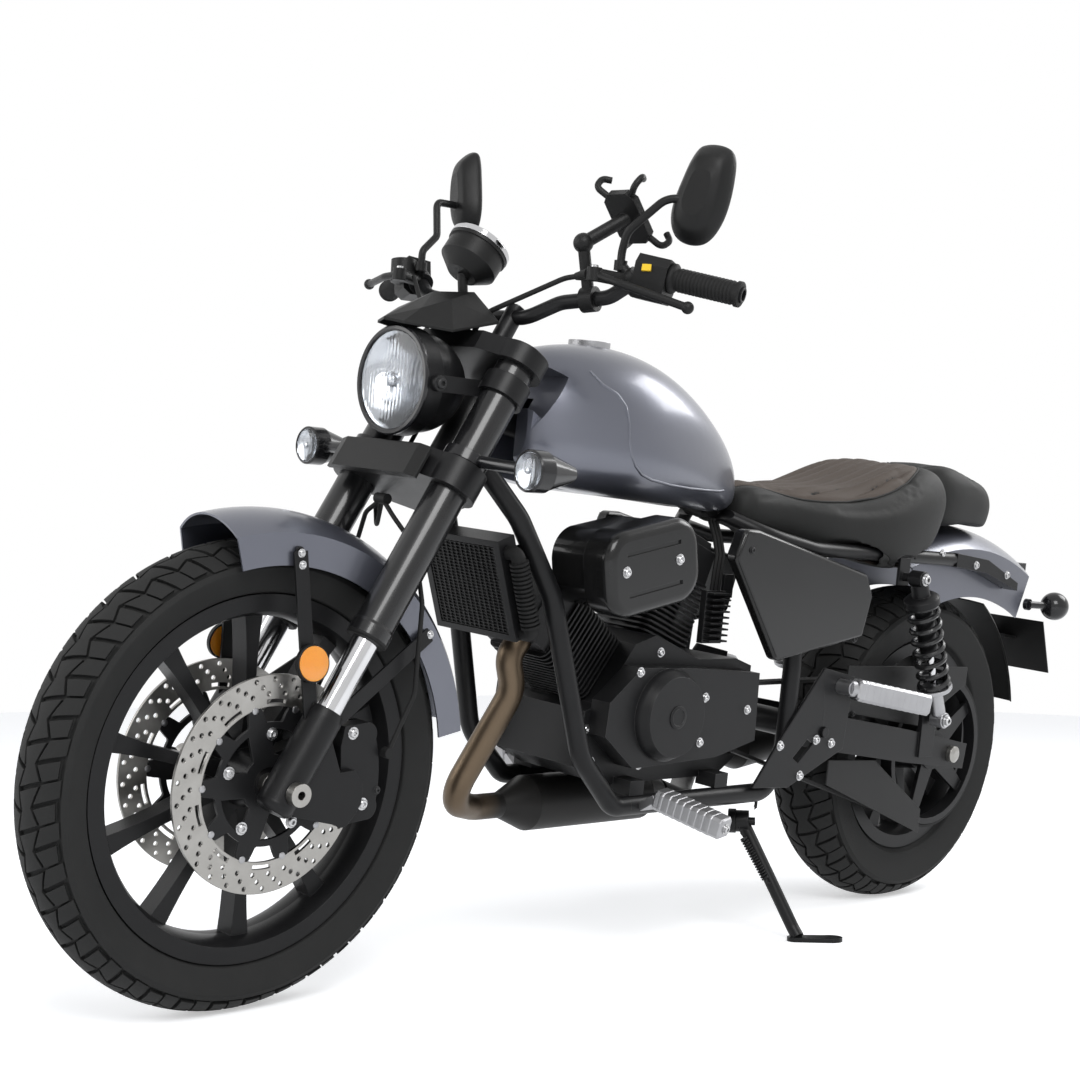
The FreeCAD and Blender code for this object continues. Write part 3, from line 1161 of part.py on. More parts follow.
def lofted(front_x, rear_x, half, top, low, station_shares, shape_shares):
    rings = []
    for along, wide, high, deep in station_shares:
        rings.append(station_ring(front_x + (rear_x - front_x) * along, half * wide,
                                  low + (top - low) * high, low + (top - low) * deep, shape_shares))
    return Part.makeLoft(rings, True, False)


tank_station_shares = [
    (0.000, 0.42, 0.80, 0.20), (0.045, 0.60, 0.89, 0.10), (0.16, 0.85, 0.97, 0.03),
    (0.34, 1.00, 1.00, 0.00), (0.56, 0.94, 0.92, -0.02), (0.78, 0.74, 0.68, -0.05),
    (0.93, 0.50, 0.43, -0.06), (1.000, 0.30, 0.27, -0.02)]
tank_shape_shares = [(0.0, 1.0), (0.45, 0.96), (0.82, 0.78), (1.0, 0.42), (0.94, 0.12),
                     (0.72, 0.0), (0.0, 0.0)]


def swing_room():
    """Space that the steering sweeps in front of the tank."""
    behind = -d.fork_offset - d.swing_back
    low, top = d.lower_clamp_low - d.overrun * 2, d.stem_top + d.overrun * 4
    wide, far = d.leg_y * 2, d.leg_y * 2
    side = block(Vector(behind, d.swing_inner_y, low), Vector(far, wide, top))
    centre = block(Vector(-d.fork_offset, -wide, low), Vector(far, wide, top))
    stem = rod(Vector(-d.fork_offset, 0, low), Vector(-d.fork_offset, 0, top), d.swing_stem_r)
    above = block(Vector(behind, -wide, d.upper_clamp_low - d.overrun), Vector(far, wide, top))
    room = centre.fuse([side, mirrored(side), stem, above])
    room.transformShape(fork.toMatrix())
    return room


def make_tank(rail_rooms):
    shell = lofted(d.tank_front_x, d.tank_rear_x, d.tank_half, d.tank_top_z, d.tank_low_z,
                   tank_station_shares, tank_shape_shares)
    corners = [on_bike(*s) for s in backbone_shares]
    rise = Vector(0, 0, d.backbone_r + d.tunnel_gap)
    ahead = Vector(d.tank_front_x + d.overrun, 0, corners[0].z)
    behind = Vector(d.tank_rear_x - d.overrun, 0, corners[-1].z)
    drop = Vector(0, 0, -(d.tank_top_z - d.tank_low_z))
    roof = [ahead + rise, corners[1] + rise, corners[2] + rise, behind + rise]
    shift = Vector(0, -d.tunnel_half, 0)
    tunnel = plate([p + shift for p in roof] + [behind + drop + shift, ahead + drop + shift],
                   Vector(0, d.tunnel_half * 2, 0))
    cap_low = Vector(d.cap_x, 0, d.tank_top_z - d.cap_r * 0.5)
    cap_top = Vector(d.cap_x, 0, d.tank_top_z + d.cap_thick)
    cap = rod(Vector(d.cap_x, 0, d.tank_top_z - d.cap_thick), cap_top, d.cap_r)
    neck = rod(cap_low, Vector(d.cap_x, 0, d.tank_top_z - d.cap_thick), d.cap_r * 0.7)
    room = rod(cap_low - Vector(0, 0, d.seat_gap), cap_top + Vector(0, 0, d.cap_r), d.cap_r + d.seat_gap)
    shell = shell.cut([tunnel, room, swing_room()] + rail_rooms)
    feature("fuel_tank", max(shell.Solids, key=lambda s: s.Volume))
    feature("fuel_cap", cap.fuse(neck))


seat_station_shares = [
    (0.000, 0.30, 0.50, 0.26), (0.03, 0.42, 0.60, 0.22), (0.14, 0.50, 0.62, 0.19),
    (0.28, 0.66, 0.62, 0.10), (0.44, 0.86, 0.66, 0.0), (0.62, 1.00, 0.80, -0.08),
    (0.78, 1.0, 0.96, -0.06), (0.92, 0.90, 1.0, 0.14), (1.000, 0.72, 0.86, 0.38)]
seat_shape_shares = [(0.0, 1.0), (0.5, 1.0), (0.84, 0.93), (1.0, 0.66), (0.98, 0.25), (0.88, 0.0), (0.0, 0.0)]
pillion_station_shares = [
    (0.000, 0.80, 0.80, 0.10), (0.06, 0.95, 0.98, 0.04), (0.4, 1.00, 1.0, 0.0),
    (0.75, 0.9, 0.84, -0.02), (0.94, 0.72, 0.66, 0.0), (1.000, 0.45, 0.44, 0.14)]


def make_seats(rooms):
    rider = lofted(d.seat_front_x, d.seat_rear_x, d.seat_half, d.seat_top_z, d.seat_low_z,
                   seat_station_shares, seat_shape_shares)
    rider = rider.cut(rooms)
    feature("rider_seat", max(rider.Solids, key=lambda s: s.Volume))
    rear = lofted(d.pillion_front_x, d.pillion_rear_x, d.pillion_half, d.pillion_top_z,
                  d.pillion_low_z, pillion_station_shares, seat_shape_shares)
    rear = rear.cut(rooms)
    feature("pillion_seat", max(rear.Solids, key=lambda s: s.Volume))


rail_room = tube([on_bike(*s) for s in seat_rail_shares], d.seat_rail_r + d.stay_thick,
                 d.wheelbase * 0.06)
rail_rooms = [rail_room, mirrored(rail_room)]
ear_room = shock_ear(d.stay_thick)
fender_room = rod(Vector(d.rear_fender_x, -d.rear_fender_half - d.overrun, d.rear_fender_z),
                  Vector(d.rear_fender_x, d.rear_fender_half + d.overrun, d.rear_fender_z),
                  d.rear_fender_r + d.stay_thick * 0.5)
make_tank(rail_rooms)
make_seats(rail_rooms + [ear_room, mirrored(ear_room), fender_room])


# Engine

def tilt_direction(angle_deg):
    angle = math.radians(angle_deg)
    return Vector(math.sin(angle), 0, math.cos(angle))


crank = Vector(d.crank_x, 0, d.crank_z)
front_up, rear_up = tilt_direction(d.front_tilt_deg), tilt_direction(d.rear_tilt_deg)


def cylinder_place(tilt_deg):
    up = tilt_direction(tilt_deg)
    return Placement(crank + up * (d.deck_height + d.seat_gap), Rotation(Vector(0, 1, 0), tilt_deg))


def make_cylinder(label, tilt_deg):
    """Barrel with square cooling fins, head and rocker cover, stacked along the bore."""
    body = new_body(label)
    core = new_sketch(body)
    draw_circle(core, "0", "0", "barrel_r")
    fin_stack = "fin_count * fin_pitch"
    body.Tip = pad(body, core, fin_stack, "One side")
    fin = new_sketch(body, lift="fin_pitch * 0.5")
    long, wide, cut = "cylinder_long", "cylinder_half", "fin_corner"
    draw_outline(fin, soft_rectangle(long, wide, cut))
    blade = pad(body, fin, "fin_thick", "One side")
    rows = body.newObject("PartDesign::LinearPattern", label + "_fins")
    rows.Originals = [blade]
    rows.Direction = (next(f for f in body.Origin.OriginFeatures if f.Role == "Z_Axis"), [""])
    rows.setExpression("Length", bind("(fin_count - 1) * fin_pitch"))
    rows.setExpression("Occurrences", bind("fin_count"))
    body.Tip = rows
    head = new_sketch(body, lift=fin_stack + " - overrun")
    draw_outline(head, [
        ("-%s * 0.86" % long, "-head_half"), ("%s * 0.86" % long, "-head_half"),
        ("%s * 0.86" % long, "head_half"), ("-%s * 0.86" % long, "head_half"),
    ])
    body.Tip = pad(body, head, "head_tall", "One side")
    rocker = new_sketch(body, "XZ_Plane")
    low = fin_stack + " + head_tall - overrun * 2"
    draw_outline(rocker, [
        ("-%s * 0.74" % long, low), ("%s * 0.74" % long, low),
        ("%s * 0.60" % long, low + " + rocker_tall", "%s * 0.74" % long, low + " + rocker_tall * 0.7"),
        ("-%s * 0.60" % long, low + " + rocker_tall"),
    ])
    body.Tip = pad(body, rocker, "head_half * 1.9")
    return keep(body, label, cylinder_place(tilt_deg))


def belt_path(gap):
    """Outline of the belt loop round both pulleys, swollen by a gap."""
    rear = rear_axle
    front = Vector(d.drive_x, 0, d.drive_z)
    big, small = d.pulley_r + gap, d.front_pulley_r + gap
    line = front - rear
    reach = line.Length
    along = line * (1 / reach)
    up = Vector(-along.z, 0, along.x)
    lean = math.asin((big - small) / reach)
    normals = [along * math.sin(lean) + up * math.cos(lean), along * math.sin(lean) - up * math.cos(lean)]
    rear_top, rear_low = rear + normals[0] * big, rear + normals[1] * big
    front_top, front_low = front + normals[0] * small, front + normals[1] * small
    return Part.Wire([
        Part.LineSegment(rear_top, front_top).toShape(),
        Part.Arc(front_top, front + along * small, front_low).toShape(),
        Part.LineSegment(front_low, rear_low).toShape(),
        Part.Arc(rear_low, rear - along * big, rear_top).toShape(),
    ])


def belt_slab(gap, y_low, y_high):
    face = Part.Face(belt_path(gap))
    face.translate(Vector(0, y_low, 0))
    return face.extrude(Vector(0, y_high - y_low, 0))


def make_engine():
    """Crankcase with flat decks for the two cylinders and a recess for the belt drive."""
    def deck(up, side):
        along = Vector(up.z, 0, -up.x)
        return crank + up * d.deck_height + along * (side * d.cylinder_long * 0.96)
    outline = [
        crank + Vector(d.case_front, 0, -d.case_low * 0.72),
        crank + Vector(d.case_front * 0.98, 0, d.case_low * 0.12),
        deck(front_up, 1), deck(front_up, -1), deck(rear_up, 1), deck(rear_up, -1),
        crank + Vector(-d.case_back * 0.82, 0, d.case_low * 0.86),
        crank + Vector(-d.case_back, 0, d.case_low * 0.74),
        crank + Vector(-d.case_back, 0, -d.case_low * 0.62),
        crank + Vector(-d.case_back * 0.72, 0, -d.case_low),
        crank + Vector(d.case_front * 0.62, 0, -d.case_low),
    ]
    shift = Vector(0, -d.case_half, 0)
    case = plate([p + shift for p in outline], Vector(0, d.case_half * 2, 0))
    room = belt_slab(d.belt_thick * 2, d.pulley_y - d.pulley_half - d.belt_gap * 2,
                     d.case_half + d.overrun)
    case = case.cut(room)
    drive = Vector(d.drive_x, 0, d.drive_z)
    shaft = rod(drive, drive + Vector(0, d.pulley_y, 0), d.front_pulley_r * 0.4)
    wheel = rod(drive + Vector(0, d.pulley_y - d.belt_half, 0),
                drive + Vector(0, d.pulley_y + d.belt_half, 0), d.front_pulley_r)
    rail_top = on_bike(*lower_rail_shares[0]).z + d.tube_r + d.seat_gap
    lugs = []
    for x in (d.crank_x + d.case_front * 0.4, d.crank_x - d.case_back * 0.6):
        lug = block(Vector(x - d.lug_half, d.case_half - d.overrun, rail_top),
                    Vector(x + d.lug_half, d.rail_y + d.lug_half * 0.4, rail_top + d.lug_half * 1.5))
        lugs += [lug, mirrored(lug)]
    feature("engine_cases", case.fuse([shaft, wheel] + lugs))


def make_covers():
    """Left generator and sprocket covers, right clutch cover."""
    base = d.case_half + d.seat_gap
    out = d.cover_out_y

    def dome(centre, radius, side, top):
        start = Vector(centre.x, side * base, centre.z)
        wall = Vector(0, side * (top - base) * 0.7, 0)
        cap = Part.makeCone(radius, radius * 0.86, (top - base) * 0.3, start + wall, wall)
        return rod(start, start + wall, radius).fuse(cap)

    hub = crank + Vector(d.cover_r * 0.2, 0, d.cover_r * 0.12)
    skirt = [
        Vector(d.case_front * 0.92, 0, -d.case_low * 0.2), Vector(d.case_front * 0.9, 0, d.case_low * 0.3),
        Vector(d.case_front * 0.5, 0, d.case_low * 0.8), Vector(-d.case_back * 0.2, 0, d.case_low * 0.78),
        Vector(-d.case_back * 0.9, 0, d.case_low * 0.68), Vector(-d.case_back * 0.92, 0, -d.case_low * 0.4),
        Vector(-d.case_back * 0.5, 0, -d.case_low * 0.62), Vector(d.case_front * 0.5, 0, -d.case_low * 0.7),
    ]
    left = plate([crank + p + Vector(0, base, 0) for p in skirt], Vector(0, (out - base) * 0.62, 0))
    room = belt_slab(d.belt_thick * 2, base - d.overrun, d.pulley_y + d.pulley_half + d.belt_gap * 2)
    left = left.fuse(dome(hub, d.cover_r, 1, out)).cut(room)
    right = plate([crank + Vector(p.x, -base, p.z) for p in skirt], Vector(0, -(out - base) * 0.4, 0))
    right = right.fuse(dome(hub, d.cover_r * 1.12, -1, out * 0.98))
    feature("engine_covers", Part.makeCompound([left, right]))


def make_belt():
    outer = belt_slab(d.belt_gap + d.belt_thick, d.pulley_y - d.belt_half, d.pulley_y + d.belt_half)
    inner = belt_slab(d.belt_gap, d.pulley_y - d.belt_half - d.overrun,
                      d.pulley_y + d.belt_half + d.overrun)
    feature("drive_belt", outer.cut(inner))


def make_air_cleaner():
    """Body between the cylinders and a domed cover with two ribs pressed into it."""
    body = new_body("air_cleaner")
    face = new_sketch(body, "XZ_Plane")
    long, tall, corner = "cleaner_half_x", "cleaner_half_z", "cleaner_half_z * 0.7"
    draw_outline(face, soft_rectangle(long + " * 0.92", tall + " * 0.9", corner))
    body.Tip = pad(body, face, "cleaner_out_y - cleaner_in_y", "One side")
    cover = new_sketch(body, "XZ_Plane")
    draw_outline(cover, soft_rectangle(long, tall, corner))
    shell = pad(body, cover, "(cleaner_out_y - cleaner_in_y) * 0.42", "One side")
    doc.recompute()
    faces = shell.Shape.Faces
    front = max(range(len(faces)), key=lambda i: faces[i].CenterOfMass.y)
    dome = body.newObject("PartDesign::Fillet", "dome")
    dome.Base = (shell, ["Face%d" % (front + 1)])
    dome.setExpression("Radius", bind("cleaner_half_z * 0.24"))
    body.Tip = dome
    rib = new_sketch(body, "XZ_Plane")
    for side in ("", "-"):
        low, high = side + "cleaner_half_z * 0.42", side + "cleaner_half_z * 0.52"
        draw_outline(rib, [
            ("-%s * 0.55" % long, low), ("%s * 0.62" % long, low),
            ("%s * 0.62" % long, high), ("-%s * 0.55" % long, high),
        ])
    groove = body.newObject("PartDesign::Pocket", "rib_grooves")
    groove.Profile = rib
    groove.Reversed = True
    groove.setExpression("Length", bind("disc_thick * 0.6"))
    body.Tip = groove
    keep(body, "air_cleaner", Placement(Vector(d.cleaner_x, d.cleaner_out_y, d.cleaner_z),
                                        Rotation(Vector(0, 1, 0), d.cleaner_tilt_deg)))


def down_tube_room():
    down = tube([on_bike(*s) for s in down_tube_shares], d.tube_r + d.seat_gap, d.wheelbase * 0.06)
    return [down, mirrored(down)]


def make_radiator():
    """Core with a tank on each side, held by two lugs, and the ribbed hose down its left."""
    tall = d.radiator_top_z - d.radiator_low_z
    place = Placement(Vector(d.radiator_x, 0, (d.radiator_low_z + d.radiator_top_z) / 2),
                      Rotation(Vector(0, 1, 0), d.radiator_tilt_deg))
    half, deep = d.radiator_half, d.radiator_deep / 2
    core = block(Vector(-deep, -half, -tall / 2), Vector(deep, half, tall / 2))
    recess = block(Vector(deep * 0.8, -half * 0.86, -tall * 0.44),
                   Vector(deep + d.overrun, half * 0.86, tall * 0.44))
    lug = rod(Vector(0, half * 0.7, tall * 0.3), Vector(-deep * 2.6, half * 0.86, tall * 0.3), d.cable_r * 2)
    solid = core.cut(recess).fuse([lug, mirrored(lug)])
    solid.transformShape(place.toMatrix())
    feature("radiator", solid.cut(down_tube_room()))
    reach = half + d.bellows_r * 1.3
    top, low = tall * 0.36, -tall * 0.45
    ends = [Vector(0, half + d.seat_gap, top), Vector(0, reach, top),
            Vector(0, reach, low), Vector(0, half + d.seat_gap, low)]
    hose = tube(ends, d.bellows_r * 0.74, d.bellows_r)
    rings = []
    count = int(d.bellows_count)
    for turn in range(count):
        height = low + d.bellows_r + (top - low - d.bellows_r * 2) * turn / (count - 1)
        rib = (top - low) / count * 0.22
        rings.append(rod(Vector(0, reach, height - rib), Vector(0, reach, height + rib), d.bellows_r))
    hose = hose.fuse(rings)
    hose.transformShape(place.toMatrix())
    feature("radiator_hose", hose.cut(down_tube_room()))


header_shares = [(0.6894, 0.20, 0.514), (0.735, -0.154, 0.301), (0.675, -0.49, 0.272),
                 (0.640, -0.49, 0.272)]
tail_pipe_shares = [(0.390, -0.49, 0.272), (0.335, -0.62, 0.240), (0.275, -1.25, 0.240),
                    (0.215, -1.72, 0.290), (0.175, -1.72, 0.300)]
silencer_end_share = (-0.10, -1.72, 0.372)


def make_exhaust():
    """Front header into a collector under the engine, then a silencer on the right."""
    ahead = Vector(front_up.z, 0, -front_up.x)
    port = crank + front_up * (d.deck_height + d.fin_count * d.fin_pitch + d.head_tall * 0.46)
    port += ahead * (d.cylinder_long * 0.86 + d.seat_gap)
    port.y = header_shares[0][1] * d.rail_y
    route = [port, port + ahead * d.pipe_r * 1.7] + [on_bike(*s) for s in header_shares]
    header = tube(route, d.pipe_r, d.wheelbase * 0.036)
    box_start, box_end = on_bike(*header_shares[-1]), on_bike(*tail_pipe_shares[0])
    box_along = (box_end - box_start).normalize()
    taper = d.muffler_r * 1.2
    front_cone = Part.makeCone(d.pipe_r, d.muffler_r * 0.96, taper, box_start, box_along)
    barrel = rod(box_start + box_along * taper, box_end - box_along * taper, d.muffler_r * 0.96)
    rear_cone = Part.makeCone(d.muffler_r * 0.96, d.pipe_r, taper,
                              box_end - box_along * taper, box_along)
    tail = tube([on_bike(*s) for s in tail_pipe_shares], d.pipe_r, d.wheelbase * 0.05)
    start = on_bike(*tail_pipe_shares[-1])
    aim = (on_bike(*silencer_end_share) - start).normalize()
    cone = Part.makeCone(d.pipe_r, d.muffler_r, taper, start, aim)
    silencer = rod(start + aim * taper, start + aim * d.muffler_long, d.muffler_r)
    mouth = rod(start + aim * (d.muffler_long - d.muffler_r),
                start + aim * (d.muffler_long + d.overrun), d.pipe_r)
    solid = header.fuse([front_cone, barrel, rear_cone, tail, cone, silencer]).cut(mouth)
    feature("exhaust", solid)


make_cylinder("cylinder_front", d.front_tilt_deg)
make_cylinder("cylinder_rear", d.rear_tilt_deg)
make_engine()
make_covers()
make_belt()
make_air_cleaner()
make_radiator()
make_exhaust()


# Rear end

def make_pulley():
    """Belt pulley: rim, hub against the wheel and spokes between them."""
    body = new_body("rear_pulley")
    rim = new_sketch(body, "XZ_Plane")
    draw_outline(rim, [
        ("pulley_r - pulley_web * 1.4", "-pulley_half"), ("pulley_r", "-pulley_half"),
        ("pulley_r", "pulley_half"), ("pulley_r - pulley_web * 1.4", "pulley_half"),
    ])
    revolve(body, rim)
    arm = new_sketch(body)
    draw_outline(arm, [
        ("rear_hub_r * 0.6", "-pulley_web * 2.6"), ("pulley_r - pulley_web", "-pulley_web * 1.5"),
        ("pulley_r - pulley_web", "pulley_web * 1.5"), ("rear_hub_r * 0.6", "pulley_web * 2.6"),
    ])
    spread(body, pad(body, arm, "pulley_web"), "pulley_spokes")
    hub = new_sketch(body, "XZ_Plane")
    seat = "rear_hub_half + seat_gap - pulley_y"
    draw_outline(hub, [
        ("rear_axle_r * 1.8", seat), ("rear_hub_r * 0.75", seat), ("rear_hub_r * 0.75", "pulley_half * 0.6"),
        ("rear_axle_r * 1.8", "pulley_half * 0.6"),
    ])
    body.Tip = revolve(body, hub)
    keep(body, "rear_pulley", disc_place(rear_axle, d.pulley_y))


def make_rear_axle():
    body = new_body("rear_axle")
    section = new_sketch(body, "XZ_Plane")
    hub, arm = "rear_hub_half + seat_gap", "arm_inner_y - seat_gap"
    out, end = "arm_outer_y + seat_gap", "arm_outer_y + axle_nut_long"
    half = [("0", end), ("axle_nut_r * 0.5", end), ("axle_nut_r", out + " + axle_nut_long * 0.7"),
            ("axle_nut_r", out), ("rear_axle_r", out), ("rear_axle_r", arm),
            ("spacer_r", arm), ("spacer_r", hub), ("rear_axle_r", hub)]
    other = [(r, "-(" + y + ")") for r, y in reversed(half)]
    draw_outline(section, half + other)
    revolve(body, section)
    keep(body, "rear_axle", Placement(rear_axle, along_y))


def make_swingarm():
    """Two box arms joined ahead of the tyre, on a pivot bolt."""
    pivot = Vector(d.pivot_x, 0, d.pivot_z)
    along = (pivot - rear_axle).normalize()
    up = Vector(-along.z, 0, along.x)
    reach = pivot.distanceToPoint(rear_axle)

    def spot(ahead, high, y):
        return rear_axle + along * ahead + up * high + Vector(0, y, 0)
    half = d.arm_tall / 2
    nose = d.arm_nose
    side = [spot(-d.arm_tail, -half * 0.8, d.arm_inner_y), spot(-d.arm_tail, half * 0.8, d.arm_inner_y),
            spot(reach * 0.35, half, d.arm_inner_y), spot(reach + nose * 0.3, half * 1.05, d.arm_inner_y),
            spot(reach + nose, half * 0.4, d.arm_inner_y), spot(reach + nose, -half * 0.4, d.arm_inner_y),
            spot(reach + nose * 0.3, -half * 1.05, d.arm_inner_y), spot(reach * 0.35, -half, d.arm_inner_y)]
    arm = plate(side, Vector(0, d.arm_outer_y - d.arm_inner_y, 0))
    hole = rod(spot(0, 0, d.arm_inner_y - d.overrun), spot(0, 0, d.arm_outer_y + d.overrun),
               d.rear_axle_r + d.seat_gap)
    arm = arm.cut(hole)
    cross_at = reach - d.arm_cross_r * 0.5
    cross = rod(spot(cross_at, 0, -d.arm_inner_y - d.overrun), spot(cross_at, 0, d.arm_inner_y + d.overrun),
                d.arm_cross_r)
    bolt_half = d.arm_outer_y + d.plate_thick * 2
    bolt = rod(pivot - Vector(0, bolt_half, 0), pivot + Vector(0, bolt_half, 0), d.pivot_bolt_r)
    eye = Vector(d.shock_low_x, d.arm_outer_y, d.shock_low_z)
    clevis = block(Vector(eye.x - d.lug_half * 1.4, eye.y - d.overrun, d.pivot_z - d.arm_tall),
                   Vector(eye.x + d.lug_half * 1.4, eye.y + d.plate_thick * 0.8, eye.z + d.lug_half))
    stud = rod(eye, Vector(eye.x, d.shock_y + d.shock_eye_r * 1.4, eye.z), d.shock_bolt_r)
    feature("swingarm", both_sides(arm.fuse([clevis, stud])).fuse([cross, bolt]))


def make_shocks():
    """Damper between two eyes with the spring's coils round it, leaning forward."""
    body = new_body("shock_side")
    low = Vector(d.shock_low_x, d.shock_y, d.shock_low_z)
    top = Vector(d.shock_top_x, d.shock_y, d.shock_top_z)
    length = low.distanceToPoint(top)
    section = new_sketch(body, "XZ_Plane")
    share = length / d.saddle_z
    rise = "saddle_z * %.4f" % share
    outline = [("0", "0"), ("damper_r * 0.8", "0"), ("damper_r * 0.8", rise + " * 0.2"),
               ("spring_r", rise + " * 0.22"), ("spring_r", rise + " * 0.26")]
    coils = int(d.coil_count)
    for turn in range(coils):
        start, end = 0.26 + 0.52 * turn / coils, 0.26 + 0.52 * (turn + 1) / coils
        outline.append(("damper_r", rise + " * %.4f" % ((start * 2 + end) / 3)))
        outline.append(("spring_r", rise + " * %.4f" % ((start + end * 2) / 3)))
        outline.append(("spring_r", rise + " * %.4f" % end))
    outline += [("spring_r", rise + " * 0.84"), ("damper_r", rise + " * 0.86"),
                ("damper_r", rise), ("0", rise)]
    draw_outline(section, outline)
    body.Tip = revolve(body, section)
    for height in ("0", rise):
        eye = new_sketch(body, "XZ_Plane")
        draw_circle(eye, "0", height, "shock_eye_r")
        body.Tip = pad(body, eye, "shock_eye_r * 2")
    for height in ("0", rise):
        hole = new_sketch(body, "XZ_Plane")
        draw_circle(hole, "0", height, "shock_bolt_r + seat_gap")
        body.Tip = through_cut(body, hole)
    lean = math.degrees(math.atan2(top.x - low.x, top.z - low.z))
    body.Placement = Placement(low, Rotation(Vector(0, 1, 0), lean))
    pair("rear_shocks", body)


def make_rear_fender():
    centre = Vector(d.rear_fender_x, 0, d.rear_fender_z)
    shape = fender_shape(centre, d.rear_fender_r, d.rear_fender_corner_r, d.rear_fender_edge_r,
                         d.rear_fender_half, d.rear_fender_skin,
                         d.rear_fender_from_deg, d.rear_fender_to_deg)
    feature("rear_fender", shape)
    rail_end = on_bike(*seat_rail_shares[-1])
    out = d.rear_fender_half + d.seat_gap
    drop, tall, strut_end = d.saddle_z * 0.056, d.seat_rail_r, d.tail_x * 0.5
    root_x, root_z = rail_end.x - d.seat_gap, rail_end.z
    corners = [Vector(root_x, out, root_z - tall), Vector(root_x, out, root_z + tall),
               Vector(strut_end * 0.4, out, root_z + tall - drop * 0.2),
               Vector(strut_end, out, root_z - drop + tall * 0.6),
               Vector(strut_end, out, root_z - drop - tall * 0.6),
               Vector(strut_end * 0.4, out, root_z - tall - drop * 0.2)]
    strut = plate(corners, Vector(0, rail_end.y + d.seat_rail_r - out, 0))
    feature("fender_struts", both_sides(strut))


def make_side_panels():
    """Cover below the seat on each side, drawn from the side."""
    body = new_body("side_panel_side")
    face = new_sketch(body, "XZ_Plane")
    long, tall = "(panel_front_x - panel_rear_x)", "(panel_top_z - panel_low_z)"

    def corner(x, z):
        return ("panel_rear_x + %s * %s" % (long, x), "panel_low_z + %s * %s" % (tall, z))
    draw_outline(face, [
        corner(0.66, 0.0), corner(1.0, 0.77), corner(0.95, 1.0), corner(0.86, 1.0),
        corner(0.06, 0.70), corner(0.0, 0.52), corner(0.05, 0.18),
    ])
    slab = pad(body, face, "panel_out_y - panel_in_y", "One side")
    doc.recompute()
    faces = slab.Shape.Faces
    outside = max(range(len(faces)), key=lambda i: faces[i].CenterOfMass.y)
    rounding = body.newObject("PartDesign::Fillet", "panel_rounding")
    rounding.Base = (slab, ["Face%d" % (outside + 1)])
    rounding.setExpression("Radius", bind("(panel_out_y - panel_in_y) * 0.3"))
    body.Tip = rounding
    body.Placement = Placement(Vector(0, d.panel_out_y, 0), Rotation())
    pair("side_panels", body)


pivot_plate_shares = [(1.43, 0.06), (1.26, 0.45), (1.03, 0.93), (0.82, 0.86), (0.85, 0.30),
                      (1.20, 0.04)]
pivot_slot_shares = [(1.19, 0.26), (1.10, 0.40), (1.06, 0.36), (1.15, 0.22)]


def make_pivot_plates():
    """Plates outside the frame that carry the swing arm's bolt and the passenger pegs."""
    inner = d.rail_y + d.tube_r + d.seat_gap
    tall, long = d.panel_low_z - d.rail_z, d.pivot_x

    def corners(shares):
        return [Vector(long * x, inner, d.rail_z + tall * z) for x, z in shares]
    face = plate(corners(pivot_plate_shares), Vector(0, d.plate_thick, 0))
    slot = plate(corners(pivot_slot_shares), Vector(0, d.plate_thick, 0))
    pivot = Vector(d.pivot_x, inner, d.pivot_z)
    hole = rod(pivot - Vector(0, d.overrun, 0), pivot + Vector(0, d.plate_thick * 3, 0),
               d.pivot_bolt_r + d.seat_gap)
    feature("pivot_plates", both_sides(face.cut([hole, slot])))


def make_pegs():
    """Rider pegs on brackets from the lower rails and passenger pegs on the pivot plates."""
    rail_out = d.rail_y + d.tube_r + d.seat_gap
    foot = Vector(d.peg_x, rail_out, d.rail_z)
    arm = strap(foot, Vector(d.peg_x, rail_out + d.peg_r * 2, d.peg_z), Vector(0, 0, 1),
                d.lug_half * 2, d.plate_thick * 2)
    rail = Vector(0, d.rail_y, d.rail_z)
    arm = arm.cut(rod(rail, rail + Vector(d.wheelbase, 0, 0), d.tube_r + d.seat_gap))
    root = Vector(d.peg_x, rail_out + d.peg_r * 1.6, d.peg_z)
    tip = root + Vector(-d.peg_r * 1.9, d.peg_long, -d.peg_r * 1.7)
    peg = Part.makeCone(d.peg_r * 0.8, d.peg_r, root.distanceToPoint(tip), root, tip - root)
    plate_out = d.rail_y + d.tube_r + d.seat_gap * 2 + d.plate_thick
    hinge = Vector(d.pivot_x * 0.92, plate_out, d.pivot_z + d.saddle_z * 0.095)
    knuckle = rod(hinge, hinge + Vector(0, d.peg_r * 2, 0), d.peg_r * 0.9)
    start = hinge + Vector(0, d.peg_r * 1.4, 0)
    rest = rod(start, start + Vector(-d.peg_long * 1.3, d.peg_long * 0.5, -d.peg_r * 1.6), d.peg_r)
    feature("foot_pegs", both_sides(Part.makeCompound([arm.fuse(peg), knuckle.fuse(rest)])))


